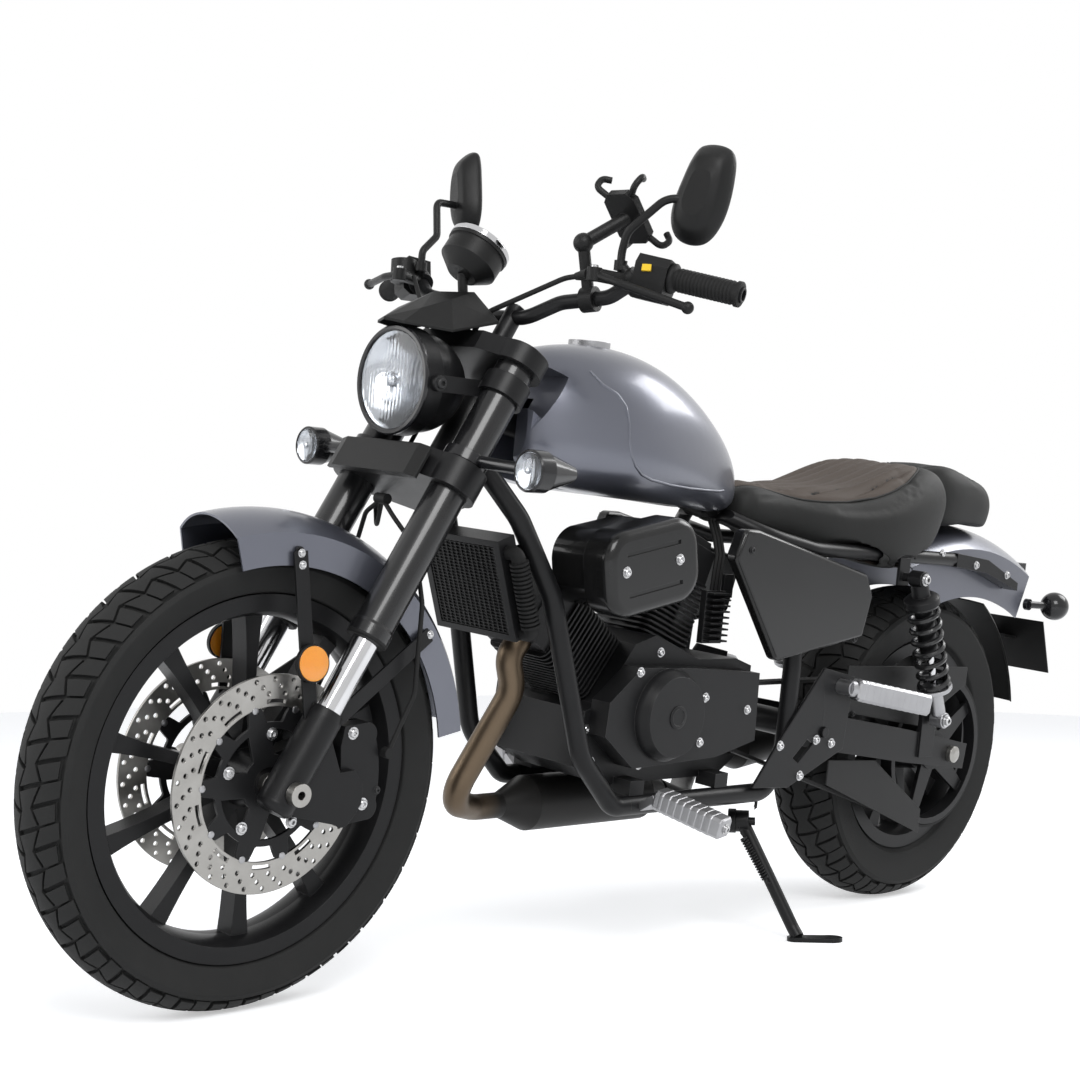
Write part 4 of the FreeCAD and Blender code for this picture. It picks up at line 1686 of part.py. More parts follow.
def make_tail():
    """Mudguard strip behind the tyre, plate with its bracket, tail lamp and rear signals."""
    low_guard = fender_shape(rear_axle, d.mudguard_r, d.mudguard_r - d.overrun,
                             d.mudguard_r - d.overrun * 2, d.rear_tyre_half, d.rear_fender_skin,
                             d.mudguard_from_deg, d.mudguard_to_deg)
    top = around_axle(rear_axle, d.mudguard_r, d.mudguard_from_deg * 0.6 + d.mudguard_to_deg * 0.4, 0)
    slope = math.radians(d.plate_tilt_deg)
    down = Vector(-math.sin(slope), 0, -math.cos(slope))
    upper = Vector(d.tail_x + d.plate_tall * 0.2, 0, d.tail_z + d.plate_tall * 0.5)
    half = Vector(0, d.plate_wide / 2, 0)
    skin = Vector(-d.fender_skin, 0, 0)
    drop = down * d.plate_tall
    board = plate([upper - half, upper + half, upper + half + drop, upper - half + drop], skin)
    arm_end = upper + down * d.plate_tall * 0.4
    arm = strap(top, arm_end, Vector(0, 0, 1), d.plate_wide * 0.3, d.plate_thick)
    feature("plate_carrier", low_guard.fuse([board, arm]))
    root = Vector(d.tail_root_x, d.rear_fender_half + d.seat_gap, d.tail_signal_z)
    boss = rod(root, root + Vector(0, d.signal_stalk_r, 0), d.signal_stalk_r * 1.3)
    ball = Vector(d.tail_signal_x, d.tail_signal_y, d.tail_signal_z)
    stalk = rod(root + Vector(0, d.signal_stalk_r * 0.9, 0), ball, d.signal_stalk_r * 0.8)
    signal = Part.makeSphere(d.tail_signal_r, ball).fuse([boss, stalk])
    edge = around_axle(Vector(d.rear_fender_x, 0, d.rear_fender_z), d.rear_fender_r - d.plate_thick,
                       d.rear_fender_to_deg + d.seat_gap, 0)
    lamp = block(Vector(edge.x - d.lug_half * 2, -d.plate_wide * 0.3, edge.z - d.lug_half * 2.4),
                 Vector(edge.x - d.seat_gap * 4, d.plate_wide * 0.3, edge.z - d.lug_half * 0.4))
    signal_other = mirrored(signal)
    feature("tail_lamps", Part.makeCompound([lamp, signal, signal_other]))


def make_rear_caliper():
    body = new_body("rear_caliper")
    face = new_sketch(body)
    deep, long = "caliper_deep * 0.42", "caliper_long * 0.32"
    draw_outline(face, [("-" + deep, "-" + long), (deep, "-" + long), (deep, long), ("-" + deep, long)])
    body.Tip = pad(body, face, "arm_inner_y - seat_gap - rear_tyre_half * 0.78", "One side")
    slot = new_sketch(body, "XZ_Plane")
    middle = "arm_inner_y - seat_gap - rear_disc_y"
    gap = "disc_thick / 2 + caliper_gap"
    draw_outline(slot, [
        ("-caliper_deep", "%s - (%s)" % (middle, gap)), ("caliper_deep * 0.34", "%s - (%s)" % (middle, gap)),
        ("caliper_deep * 0.34", "%s + %s" % (middle, gap)), ("-caliper_deep", "%s + %s" % (middle, gap)),
    ])
    body.Tip = through_cut(body, slot)
    place = caliper_place(rear_axle, d.rear_disc_r * 0.86, d.rear_caliper_deg, -d.arm_inner_y + d.seat_gap)
    keep(body, "rear_caliper", place)


upper_guard_shares = [(0.77, 1.4), (0.77, 2.8), (-0.16, 2.66), (-0.16, 2.1), (0.2, 0.85)]
lower_guard_shares = [(0.84, -0.72), (0.84, 0.02), (0.5, -0.1), (0.1, -1.8), (0.1, -2.56)]
guard_slot_shares = [(0.66, 1.75), (0.66, 2.1), (0.22, 1.9), (0.22, 1.55)]


def make_belt_guards():
    """Guards over and under the belt, just above and below the left arm."""
    def side(shares):
        return plate([Vector(d.pivot_x * x, d.arm_inner_y + d.seat_gap, d.rear_tyre_r + d.arm_tall * z)
                      for x, z in shares], Vector(0, d.plate_thick * 0.5, 0))
    upper = side(upper_guard_shares).cut(side(guard_slot_shares))
    feature("belt_guards", Part.makeCompound([upper, side(lower_guard_shares)]))


make_pulley()
make_rear_axle()
make_swingarm()
make_shocks()
make_rear_fender()
make_side_panels()
make_pivot_plates()
make_pegs()
make_tail()
make_rear_caliper()
make_belt_guards()


# Side stand

def make_stand():
    """Leg on a pin under the left rail; its foot lies flat on the ground."""
    dips = []
    for half, drop in ((d.rear_shoulder_half, d.rear_shoulder_drop),
                       (d.front_shoulder_half, d.front_shoulder_drop)):
        crown = (half ** 2 + drop ** 2) / (2 * drop)
        dips.append(-crown * (1 - math.cos(math.radians(d.lean_deg))))
    ground = dips[0] + (dips[1] - dips[0]) * d.stand_foot_x / d.wheelbase
    to_bike = park.inverse()
    pin = Vector(d.stand_x, d.stand_y, d.stand_z)
    sole = park.multVec(Vector(d.stand_foot_x, d.stand_foot_y, 0))
    sole.z = ground
    half = d.stand_foot_half
    toe, root = sole + Vector(-half * 0.5, half * 0.3, 0), sole + Vector(half * 0.8, -half, 0)
    pad_shape = Part.makeCylinder(half * 0.62, d.stand_foot_thick, toe)
    pad_shape = pad_shape.fuse(Part.makeCylinder(half * 0.5, d.stand_foot_thick, root))
    middle = plate([sole + Vector(-half * 0.9, -half * 0.1, 0), sole + Vector(half * 0.4, -half * 1.4, 0),
                    sole + Vector(half * 1.2, -half * 0.7, 0), sole + Vector(-half * 0.1, half * 0.8, 0)],
                   Vector(0, 0, d.stand_foot_thick))
    pad_shape = pad_shape.fuse(middle)
    pad_shape.transformShape(to_bike.toMatrix())
    heel = to_bike.multVec(sole + Vector(half * 0.8, -half * 0.9, d.stand_foot_thick))
    knee = heel + Vector(0, -half * 0.4, half * 0.4)
    leg = tube([pin, knee, heel], d.stand_r, half)
    axis = stand_axis
    eye = rod(pin - axis * d.stand_r, pin + axis * d.stand_r, d.stand_r * 1.7)
    hole = rod(pin - axis * d.stand_r * 2, pin + axis * d.stand_r * 2, d.stand_pin_r + d.run_gap)
    feature("side_stand", leg.fuse([eye, pad_shape]).cut(hole))


make_stand()


# The finished bike is moved so that the middle of its footprint is the origin

def settle():
    boxes = [piece.Shape.optimalBoundingBox(False, False) for piece in pieces]
    low = [min(getattr(box, axis + "Min") for box in boxes) for axis in "XYZ"]
    high = [max(getattr(box, axis + "Max") for box in boxes) for axis in "XYZ"]
    shift = Vector(-(low[0] + high[0]) / 2, -(low[1] + high[1]) / 2, -low[2])
    for piece in pieces:
        piece.Placement = Placement(shift, Rotation()).multiply(piece.Placement)
    doc.recompute()
    return shift


doc.recompute()
print("moved by", settle())


def check():
    """Stops on a failed feature or a bad solid."""
    doc.recompute()
    for thing in doc.Objects:
        if "Invalid" in thing.State or "Error" in thing.State:
            raise RuntimeError("failed: %s %s" % (thing.Name, thing.State))
    for piece in pieces:
        if piece.Shape.isNull() or not piece.Shape.isValid():
            raise RuntimeError("bad shape: " + piece.Label)


check()
os.makedirs("parts", exist_ok=True)
for piece in pieces:
    print(piece.Label, len(piece.Shape.Solids), round(piece.Shape.Volume / 1e6, 3))
    piece.Shape.exportStep("parts/%s.step" % piece.Label)
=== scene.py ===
import json
import math

import bmesh
import bpy
from mathutils import Matrix, Vector
from mathutils.bvhtree import BVHTree


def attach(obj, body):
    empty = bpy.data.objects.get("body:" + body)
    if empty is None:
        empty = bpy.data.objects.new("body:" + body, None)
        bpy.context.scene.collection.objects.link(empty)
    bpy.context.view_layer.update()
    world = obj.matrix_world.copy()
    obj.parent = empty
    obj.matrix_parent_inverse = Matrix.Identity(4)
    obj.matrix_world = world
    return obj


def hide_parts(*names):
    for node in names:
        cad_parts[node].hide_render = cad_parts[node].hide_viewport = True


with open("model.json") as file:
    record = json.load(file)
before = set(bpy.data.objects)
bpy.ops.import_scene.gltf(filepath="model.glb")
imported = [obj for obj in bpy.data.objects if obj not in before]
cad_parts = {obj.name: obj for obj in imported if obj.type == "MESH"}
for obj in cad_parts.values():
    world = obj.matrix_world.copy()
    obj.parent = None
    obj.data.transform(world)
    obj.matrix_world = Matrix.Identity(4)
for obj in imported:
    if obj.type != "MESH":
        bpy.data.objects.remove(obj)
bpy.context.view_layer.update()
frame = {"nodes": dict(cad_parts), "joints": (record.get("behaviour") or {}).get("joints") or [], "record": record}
nodes = frame["nodes"]
joints = {joint["name"]: joint for joint in frame["joints"]}
scene = bpy.context.scene
print("frame loaded,", len(nodes), "nodes")


# The leaning bike, in millimetres: x ahead of the rear axle, y left, z up from the upright bike's floor

millimetre = 0.001
bikePlan = dict(rearAxle=(0, 0, 311), frontAxle=(1555, 0, 331), rake=30, legY=105)
rearJoint = joints["rear_wheel_spin"]  # its axis gives the lean
leftAxis = Vector(rearJoint["axis"])
upAxis = Vector((1, 0, 0)).cross(leftAxis)
origin = Vector(rearJoint["pos_m"]) - upAxis * (bikePlan["rearAxle"][2] * millimetre)
bikeMm = Matrix.Translation(origin) @ Matrix((
    (1, leftAxis.x, upAxis.x, 0),
    (0, leftAxis.y, upAxis.y, 0),
    (0, leftAxis.z, upAxis.z, 0),
    (0, 0, 0, 1))) @ Matrix.Scale(millimetre, 4)
bikeBack = bikeMm.inverted()
rakeTurn = Matrix.Rotation(-math.radians(bikePlan["rake"]), 4, "Y")
forkToBike = Matrix.Translation(bikePlan["frontAxle"]) @ rakeTurn  # x ahead of the legs, z up them
forkMm = bikeMm @ forkToBike
sides = (1, -1)


def standing(at, along, base=bikeMm, across=None):  # local Z along a direction, local X near another
    up = Vector(along).normalized()
    side = Vector(across or ((0, 1, 0) if abs(up.y) < 0.9 else (1, 0, 0)))
    side = (side - up * side.dot(up)).normalized()
    turn = Matrix((side, up.cross(side), up)).transposed().to_4x4()
    return base @ Matrix.Translation(at) @ turn


def mirrored(spot, side):  # a place on the left side, or its mirror image on the right
    return Vector((spot[0], side * spot[1], spot[2]))


# Finishes

def wire(tree, start, startSocket, end, endSocket):
    tree.links.new(start.outputs[startSocket], end.inputs[endSocket])


def setSockets(node, sockets):
    for name, value in sockets.items():
        node.inputs[name].default_value = value


def addNode(tree, kind, sockets=None, **properties):
    made = tree.nodes.new(kind)
    for name, value in properties.items():
        setattr(made, name, value)
    setSockets(made, sockets or {})
    return made


def newMaterial(name):
    material = bpy.data.materials.new(name)
    material.use_nodes = True
    return material, material.node_tree, material.node_tree.nodes["Principled BSDF"]


def warmed(tree, place, colour, heat, shader):  # heat colour that comes in towards the front
    split = addNode(tree, "ShaderNodeSeparateXYZ")
    wire(tree, place, "Object", split, 0)
    reach = addNode(tree, "ShaderNodeMapRange", {"From Min": heat["low"], "From Max": heat["high"]})
    wire(tree, split, "X", reach, "Value")
    warm = addNode(tree, "ShaderNodeMix", {"B": (*heat["colour"], 1)}, data_type="RGBA")
    wire(tree, reach, "Result", warm, "Factor")
    wire(tree, colour, "Result", warm, "A")
    wire(tree, reach, "Result", shader, "Metallic")
    return warm


def rubbed(tree, soft, colour, look):  # worn colour where the surface bends
    face = addNode(tree, "ShaderNodeNewGeometry")
    across = addNode(tree, "ShaderNodeVectorMath", operation="DOT_PRODUCT")
    wire(tree, soft, "Normal", across, 0)
    wire(tree, face, "Normal", across, 1)
    edge = addNode(tree, "ShaderNodeMapRange",
                   {"From Min": 0.99, "From Max": 0.9, "To Max": look["wearShare"]})
    wire(tree, across, "Value", edge, "Value")
    worn = addNode(tree, "ShaderNodeMix", {"B": (*look["wear"], 1)}, data_type="RGBA")
    wire(tree, edge, "Result", worn, "Factor")
    wire(tree, colour, "Result", worn, "A")
    return worn


plainLook = dict(bump=0.2, depth=0.0004, edge=0.0015, wearShare=0.5)
shaderSockets = dict(metal="Metallic", specular="Specular IOR Level", coat="Coat Weight",
    coatGloss="Coat Roughness", glow="Subsurface Weight", clear="Transmission Weight", bend="IOR")


def makeFinish(name, look):  # clouded colour, wear on edges, uneven gloss and fine grain
    look = {**plainLook, **look}
    material, tree, shader = newMaterial(name)
    setSockets(shader, {socket: look[key] for key, socket in shaderSockets.items() if key in look})
    place = addNode(tree, "ShaderNodeTexCoord")
    cloud = addNode(tree, "ShaderNodeTexNoise", {"Scale": look["cloud"], "Detail": 5})
    grain = addNode(tree, "ShaderNodeTexNoise", {"Scale": look["grain"], "Detail": 3})
    for noise in (cloud, grain):
        wire(tree, place, "Object", noise, "Vector")
    colour = addNode(tree, "ShaderNodeMix", {"A": (*look["colour"], 1), "B": (*look["shade"], 1)},
                     data_type="RGBA")
    wire(tree, cloud, "Fac", colour, "Factor")
    smooth, dull = look["gloss"]
    gloss = addNode(tree, "ShaderNodeMapRange", {"To Min": smooth, "To Max": dull})
    wire(tree, cloud, "Fac", gloss, "Value")
    wire(tree, gloss, "Result", shader, "Roughness")
    soft = addNode(tree, "ShaderNodeBevel", {"Radius": look["edge"]}, samples=4)
    if "tint" in look:
        colour = warmed(tree, place, colour, look["tint"], shader)
    if "wear" in look:
        colour = rubbed(tree, soft, colour, look)
    wire(tree, colour, "Result", shader, "Base Color")
    bump = addNode(tree, "ShaderNodeBump", {"Strength": look["bump"], "Distance": look["depth"]})
    wire(tree, grain, "Fac", bump, "Height")
    wire(tree, soft, "Normal", bump, "Normal")
    wire(tree, bump, "Normal", shader, "Normal")
    return material


finishes = {  # colours are linear, edge and depth in metres, gloss the range of roughness
    "tank_paint": dict(colour=(0.125, 0.13, 0.158), shade=(0.108, 0.114, 0.14), cloud=9, grain=2600,
        gloss=(0.3, 0.38), bump=0.12, depth=0.0002, edge=0.001, metal=0.7, coat=0.6, coatGloss=0.16),
    "black_paint": dict(colour=(0.006, 0.006, 0.0065), shade=(0.01, 0.01, 0.0105), cloud=14, grain=900,
        gloss=(0.22, 0.34), bump=0.1, wear=(0.05, 0.05, 0.05), specular=0.3, coat=0.3),
    "black_satin": dict(colour=(0.006, 0.006, 0.0065), shade=(0.011, 0.011, 0.0115), cloud=20, grain=1400,
        gloss=(0.28, 0.42), bump=0.25, wear=(0.04, 0.04, 0.04), specular=0.18),
    "engine_black": dict(colour=(0.007, 0.007, 0.0075), shade=(0.014, 0.014, 0.0145), cloud=24, grain=1800,
        gloss=(0.3, 0.46), bump=0.4, wear=(0.09, 0.09, 0.09), edge=0.0012, specular=0.18),
    "exhaust_black": dict(colour=(0.008, 0.008, 0.008), shade=(0.016, 0.015, 0.014), cloud=22, grain=1500,
        gloss=(0.34, 0.5), bump=0.3, slot="black_satin", tint=dict(colour=(0.12, 0.09, 0.062), low=0.27,
        high=0.33), specular=0.18),
    "black_plastic": dict(colour=(0.006, 0.006, 0.006), shade=(0.011, 0.011, 0.011), cloud=18, grain=2200,
        gloss=(0.3, 0.45), bump=0.5, wear=(0.03, 0.03, 0.03), specular=0.18),
    "gloss_panel": dict(colour=(0.006, 0.006, 0.006), shade=(0.01, 0.01, 0.01), cloud=12, grain=1600,
        gloss=(0.16, 0.26), bump=0.15, wear=(0.03, 0.03, 0.03), slot="black_plastic", specular=0.22,
        coat=0.2),
    "gloss_black": dict(colour=(0.008, 0.008, 0.009), shade=(0.012, 0.012, 0.013), cloud=8, grain=600,
        gloss=(0.16, 0.24), bump=0.05, specular=0.3, coat=0.15),
    "tyre": dict(colour=(0.009, 0.0092, 0.0092), shade=(0.02, 0.02, 0.0195), cloud=26, grain=1500,
        gloss=(0.62, 0.8), bump=0.5, depth=0.0006, wear=(0.04, 0.04, 0.038), wearShare=0.35, edge=0.0012,
        specular=0.2),
    "rubber": dict(colour=(0.007, 0.007, 0.007), shade=(0.013, 0.013, 0.013), cloud=40, grain=1800,
        gloss=(0.55, 0.75), bump=0.5, specular=0.2),
    "disc_steel": dict(colour=(0.36, 0.352, 0.335), shade=(0.28, 0.272, 0.258), cloud=40, grain=900,
        gloss=(0.28, 0.42), bump=0.25, metal=1),
    "chrome": dict(colour=(0.6, 0.6, 0.61), shade=(0.5, 0.5, 0.51), cloud=12, grain=500, gloss=(0.06, 0.12),
        bump=0.03, metal=1),
    "reflector": dict(colour=(0.5, 0.52, 0.55), shade=(0.4, 0.42, 0.45), cloud=12, grain=300,
        gloss=(0.1, 0.18), bump=0.05, slot="chrome", metal=1),
    "mirror_glass": dict(colour=(0.82, 0.84, 0.85), shade=(0.78, 0.8, 0.81), cloud=5, grain=200,
        gloss=(0.02, 0.05), bump=0.01, slot="chrome", metal=1),
    "alloy": dict(colour=(0.38, 0.38, 0.39), shade=(0.3, 0.3, 0.31), cloud=24, grain=1600,
        gloss=(0.32, 0.45), bump=0.3, metal=1),
    "bolt_steel": dict(colour=(0.5, 0.5, 0.51), shade=(0.4, 0.4, 0.4), cloud=60, grain=1600,
        gloss=(0.22, 0.36), bump=0.15, edge=0.0004, slot="alloy", metal=1),
    "black_bolt": dict(colour=(0.02, 0.02, 0.021), shade=(0.03, 0.03, 0.03), cloud=60, grain=1600,
        gloss=(0.3, 0.4), bump=0.15, wear=(0.1, 0.1, 0.1), edge=0.0004, slot="black_satin", specular=0.18),
    "seat_cover": dict(colour=(0.012, 0.0122, 0.0118), shade=(0.02, 0.0202, 0.0195), cloud=16, grain=900,
        gloss=(0.5, 0.64), bump=0.6, depth=0.0008, specular=0.2),
    "seat_insert": dict(colour=(0.046, 0.035, 0.028), shade=(0.068, 0.053, 0.043), cloud=16, grain=1000,
        gloss=(0.55, 0.7), bump=0.6, depth=0.0008, slot="seat_cover", specular=0.25),
    "yellow": dict(colour=(0.75, 0.5, 0.02), shade=(0.65, 0.42, 0.015), cloud=30, grain=600,
        gloss=(0.3, 0.4), slot="black_plastic"),
    "amber": dict(colour=(0.8, 0.29, 0.015), shade=(0.68, 0.22, 0.012), cloud=30, grain=260,
        gloss=(0.12, 0.22), bump=0.6, depth=0.0008, coat=0.6, glow=0.1),
    "lamp_glass": dict(colour=(0.95, 0.96, 0.97), shade=(0.92, 0.93, 0.94), cloud=12, grain=400,
        gloss=(0.03, 0.08), bump=0.05, clear=0.95, bend=1.35),
}
materials = {name: makeFinish(name, look) for name, look in finishes.items()}

finishOf = {entry["node"]: entry["material_slot"] for entry in frame["record"]["subparts"]}
finishOf.update({"exhaust": "exhaust_black", "side_panels": "gloss_panel", "air_cleaner": "gloss_panel"})
for name, node in nodes.items():
    node.data.materials.clear()
    node.data.materials.append(materials[finishOf[name]])
print("finishes made,", len(materials))


# Rounded edges on pressed and moulded covers: radius by node

rounding = {"side_panels": 9, "engine_covers": 3, "pivot_plates": 1.5, "belt_guards": 1.5}
sharpCorner = math.radians(32)
for name, radius in rounding.items():
    weld = nodes[name].modifiers.new("weld", "WELD")
    weld.merge_threshold = 1e-6
    edge = nodes[name].modifiers.new("edge", "BEVEL")
    edge.width = radius * millimetre
    edge.segments = 4
    edge.limit_method = "ANGLE"
    edge.angle_limit = sharpCorner
    edge.harden_normals = True


# Shapes are pairs of points and faces, in millimetres

def circle(radius, count=24, centre=(0, 0)):
    spots = []
    for step in range(count):
        angle = math.tau * step / count
        spots.append((centre[0] + radius * math.cos(angle), centre[1] + radius * math.sin(angle)))
    return spots


def skin(ringCount, sideCount, closed=False):  # faces between rings of points, and back to the first
    faces = []
    for ring in range(ringCount if closed else ringCount - 1):
        here, there = ring * sideCount, (ring + 1) % ringCount * sideCount
        for side in range(sideCount):
            after = (side + 1) % sideCount
            faces.append((here + side, here + after, there + after, there + side))
    return faces


def shutSkin(pointCount, sideCount):  # the same with a face over each end
    ends = [tuple(range(sideCount))[::-1], tuple(range(pointCount - sideCount, pointCount))]
    return skin(pointCount // sideCount, sideCount) + ends


def put(shape, place):
    return [place @ Vector(point) for point in shape[0]], shape[1]


def joined(shapes):
    points, faces = [], []
    for shapePoints, shapeFaces in shapes:
        base = len(points)
        points.extend(shapePoints)
        faces.extend(tuple(base + corner for corner in face) for face in shapeFaces)
    return points, faces


def lathe(profile, steps=32):  # rows of radius and height turned round local Z
    points = [(x, y, height) for radius, height in profile for x, y in circle(radius, steps)]
    return points, skin(len(profile), steps)


def sweep(path, radius, sideCount=10):  # round bar along points
    path = [Vector(point) for point in path]
    points = []
    normal = None
    for index, spot in enumerate(path):
        ahead = path[min(index + 1, len(path) - 1)] - path[max(index - 1, 0)]
        ahead.normalize()
        if normal is None:
            normal = ahead.orthogonal().normalized()
        normal = (normal - ahead * normal.dot(ahead)).normalized()
        other = ahead.cross(normal)
        points.extend(spot + normal * x + other * y for x, y in circle(radius, sideCount))
    return points, shutSkin(len(points), sideCount)


def helix(radius, wireRadius, low, high, turns, stepCount=18):  # spring with flat end coils
    path = []
    count = int(turns * stepCount)
    for step in range(count + 1):
        share = step / count
        rise = min(max((share * turns - 0.75) / (turns - 1.5), 0), 1)
        angle = math.tau * turns * share
        path.append((radius * math.cos(angle), radius * math.sin(angle),
                     low + (high - low) * rise + wireRadius * 1.6 * (share - 0.5)))
    return sweep(path, wireRadius, 8)


def slab(low, high):  # brick between two corners, for fins and tubes
    points = [(x, y, z) for x in (low[0], high[0]) for y in (low[1], high[1])
              for z in (low[2], high[2])]
    return points, [(0, 1, 3, 2), (4, 6, 7, 5), (0, 4, 5, 1), (2, 3, 7, 6), (0, 2, 6, 4), (1, 5, 7, 3)]


def cutSheet(outlines, thick):  # flat plate: the first outline is its rim, the others holes
    curve = bpy.data.curves.new("cut", "CURVE")
    curve.dimensions = "2D"
    curve.fill_mode = "BOTH"
    curve.extrude = thick / 2
    for outline in outlines:
        spline = curve.splines.new("POLY")
        spline.points.add(len(outline) - 1)
        for point, (x, y) in zip(spline.points, outline):
            point.co = (x, y, 0, 1)
        spline.use_cyclic_u = True
    holder = bpy.data.objects.new("cut", curve)
    mesh = bpy.data.meshes.new_from_object(holder)
    shape = [tuple(v.co) for v in mesh.vertices], [tuple(p.vertices) for p in mesh.polygons]
    bpy.data.objects.remove(holder)
    bpy.data.meshes.remove(mesh)
    bpy.data.curves.remove(curve)
    return shape


def showMesh(name, mesh, finish, body, smooth=35):  # faces meeting below the smooth angle are blended
    work = bmesh.new()
    work.from_mesh(mesh)
    bmesh.ops.remove_doubles(work, verts=work.verts, dist=2e-6)
    bmesh.ops.recalc_face_normals(work, faces=work.faces)
    work.to_mesh(mesh)
    work.free()
    for polygon in mesh.polygons:
        polygon.use_smooth = True
    mesh.set_sharp_from_angle(angle=math.radians(smooth))
    mesh.materials.append(materials[finish])
    piece = bpy.data.objects.new(name, mesh)
    scene.collection.objects.link(piece)
    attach(piece, body)
    return piece


def showShape(name, shape, finish, body, smooth=35):
    mesh = bpy.data.meshes.new(name)
    mesh.from_pydata(shape[0], [], shape[1])
    return showMesh(name, mesh, finish, body, smooth)


def showCopies(name, shape, places, finish, body="steering", smooth=35):
    return showShape(name, joined([put(shape, place) for place in places]), finish, body, smooth)


# Places found on the CAD's surfaces

def meshTree(mesh):
    return BVHTree.FromPolygons([v.co.copy() for v in mesh.vertices],
                                [tuple(p.vertices) for p in mesh.polygons])


trees = {}


def treeOf(name):
    if name not in trees:
        trees[name] = meshTree(nodes[name].data)
    return trees[name]


def onSide(names, x, z, side=1):  # where a line across the bike first meets some nodes
    start = bikeMm @ Vector((x, side * 600, z))
    aim = (bikeMm @ Vector((x, 0, z)) - start).normalized()
    best = None
    for name in names:
        hit, normal, index, far = treeOf(name).ray_cast(start, aim)
        if hit is not None and (best is None or far < best[0]):
            best = (far, bikeBack @ hit)
    return None if best is None else best[1]


# Bolts are gathered by body and finish, and made last

boltGroups = {}
boltSides = 12
boltRings = [("round", 1.4, -0.1), ("round", 1.4, 0.14), ("round", 1.0, 0.15), ("round", 1.0, 0.62),
    ("round", 0.84, 0.8), ("hex", 0.52, 0.8), ("hex", 0.52, 0.38), ("round", 0, 0.38)]


def addBolt(body, at, along, radius=6, finish="bolt_steel", base=bikeMm):  # washer, head, hexagon socket
    points = []
    for kind, wide, tall in boltRings:
        for step, (x, y) in enumerate(circle(radius * wide, boltSides)):
            flat = math.cos(math.pi / 6) if kind == "hex" and step % 2 else 1
            points.append((x * flat, y * flat, radius * tall))
    shape = put((points, skin(len(boltRings), boltSides)), standing(at, along, base))
    boltGroups.setdefault((body, finish), []).append(shape)


def boltPair(body, at, along, radius, finish="bolt_steel", base=bikeMm):
    for side in sides:
        addBolt(body, mirrored(at, side), mirrored(along, side), radius, finish, base)


def sideBolts(body, names, spots, radius, side=1, finish="bolt_steel"):
    for x, z in spots:
        at = onSide(names, x, z, side)
        if at is not None:
            addBolt(body, at, (0, side, 0), radius, finish)


# Tyres with blocks standing on a worn carcass

tyrePlans = {
    "front": dict(radius=331, axleX=1555, toe=(243.3, 29.7), wall=((258.3, 33.7), (298.2, 57), (316, 42)),
        treadHalf=61, depth=6, pitches=36, body="front_wheel_set", node="front_tyre"),
    "rear": dict(radius=311, axleX=0, toe=(190.8, 42.7), wall=((206.3, 47.7), (263.8, 75), (290, 58)),
        treadHalf=80, depth=6.5, pitches=32, body="rear_wheel_set", node="rear_tyre"),
}
treadPlan = dict(gap=0.032, groove=0.47, wave=0.1, seam=0.07, slant=0.4, columns=4)  # shares of the tread
edgeSteps = ((2.5, 0.4), (8, 0.4), (9, 0), (10.5, 0), (11.5, 0.5))  # past the tread's edge, and sink
wallSteps = ((0.8, 0.5), (0.81, -0.4), (0.83, -0.4), (0.84, 0.4), (0.88, 0.4), (0.885, 0), (0.93, 0),
    (1, 0))  # share of the run to the bead, and sink


def arcThrough(start, middle, end, count):  # points on the circle through three points
    (ax, ay), (bx, by), (cx, cy) = start, middle, end
    d = 2 * (ax * (by - cy) + bx * (cy - ay) + cx * (ay - by))
    a, b, c = ax * ax + ay * ay, bx * bx + by * by, cx * cx + cy * cy
    ux = (a * (by - cy) + b * (cy - ay) + c * (ay - by)) / d
    uy = (a * (cx - bx) + b * (ax - cx) + c * (bx - ax)) / d
    radius = math.hypot(ax - ux, ay - uy)
    first = math.atan2(ay - uy, ax - ux)
    sweepAngle = math.remainder(math.atan2(cy - uy, cx - ux) - first, math.tau)
    return [(ux + radius * math.cos(first + sweepAngle * i / count),
             uy + radius * math.sin(first + sweepAngle * i / count)) for i in range(count + 1)]


def tyreLine(plan):  # from the crown's middle over the shoulder to the bead, with running length
    toe, (flange, bulge, shoulder) = plan["toe"], plan["wall"]
    crown = arcThrough((shoulder[0], -shoulder[1]), (plan["radius"], 0), shoulder, 24)[12:]
    line = crown + arcThrough(shoulder, bulge, flange, 16)[1:] + [toe]
    runs = [0]
    for (r0, y0), (r1, y1) in zip(line, line[1:]):
        runs.append(runs[-1] + math.hypot(r1 - r0, y1 - y0))
    return line, runs


def onTyre(line, runs, run, sink, angle):  # point at a run from the crown, sunk below the skin
    side, run = (1, run) if run >= 0 else (-1, -run)
    run = min(run, runs[-1])
    index = max(i for i, r in enumerate(runs[:-1]) if r <= run)
    share = (run - runs[index]) / (runs[index + 1] - runs[index])
    (r0, y0), (r1, y1) = line[index], line[index + 1]
    long = math.hypot(r1 - r0, y1 - y0)
    radius = r0 + (r1 - r0) * share - sink * (y1 - y0) / long
    across = y0 + (y1 - y0) * share + sink * (r1 - r0) / long
    return radius * math.cos(angle), side * across, radius * math.sin(angle)


def zigzag(u):
    u = u % 1
    return 4 * u - 1 if u < 0.5 else 3 - 4 * u


def grooveAt(u):  # the zigzag groove's share of the half tread
    return treadPlan["groove"] - treadPlan["wave"] * zigzag(u)


def treadBlocks():  # rungs: place round the pitch, inner and outer share of the half tread
    gap = treadPlan["gap"]
    middle = [(u, treadPlan["seam"] * zigzag(u) + gap, grooveAt(u) - gap)
              for u in (0.06, 0.28, 0.5, 0.72, 0.94)]
    blocks = [middle]
    for first, last, edge in ((0.56, 0.97, 1.0), (1.03, 1.44, 0.92)):
        places = [first + (last - first) * step / 2 for step in range(3)]
        blocks.append([(u, grooveAt(u) + gap, edge) for u in places])
    return blocks


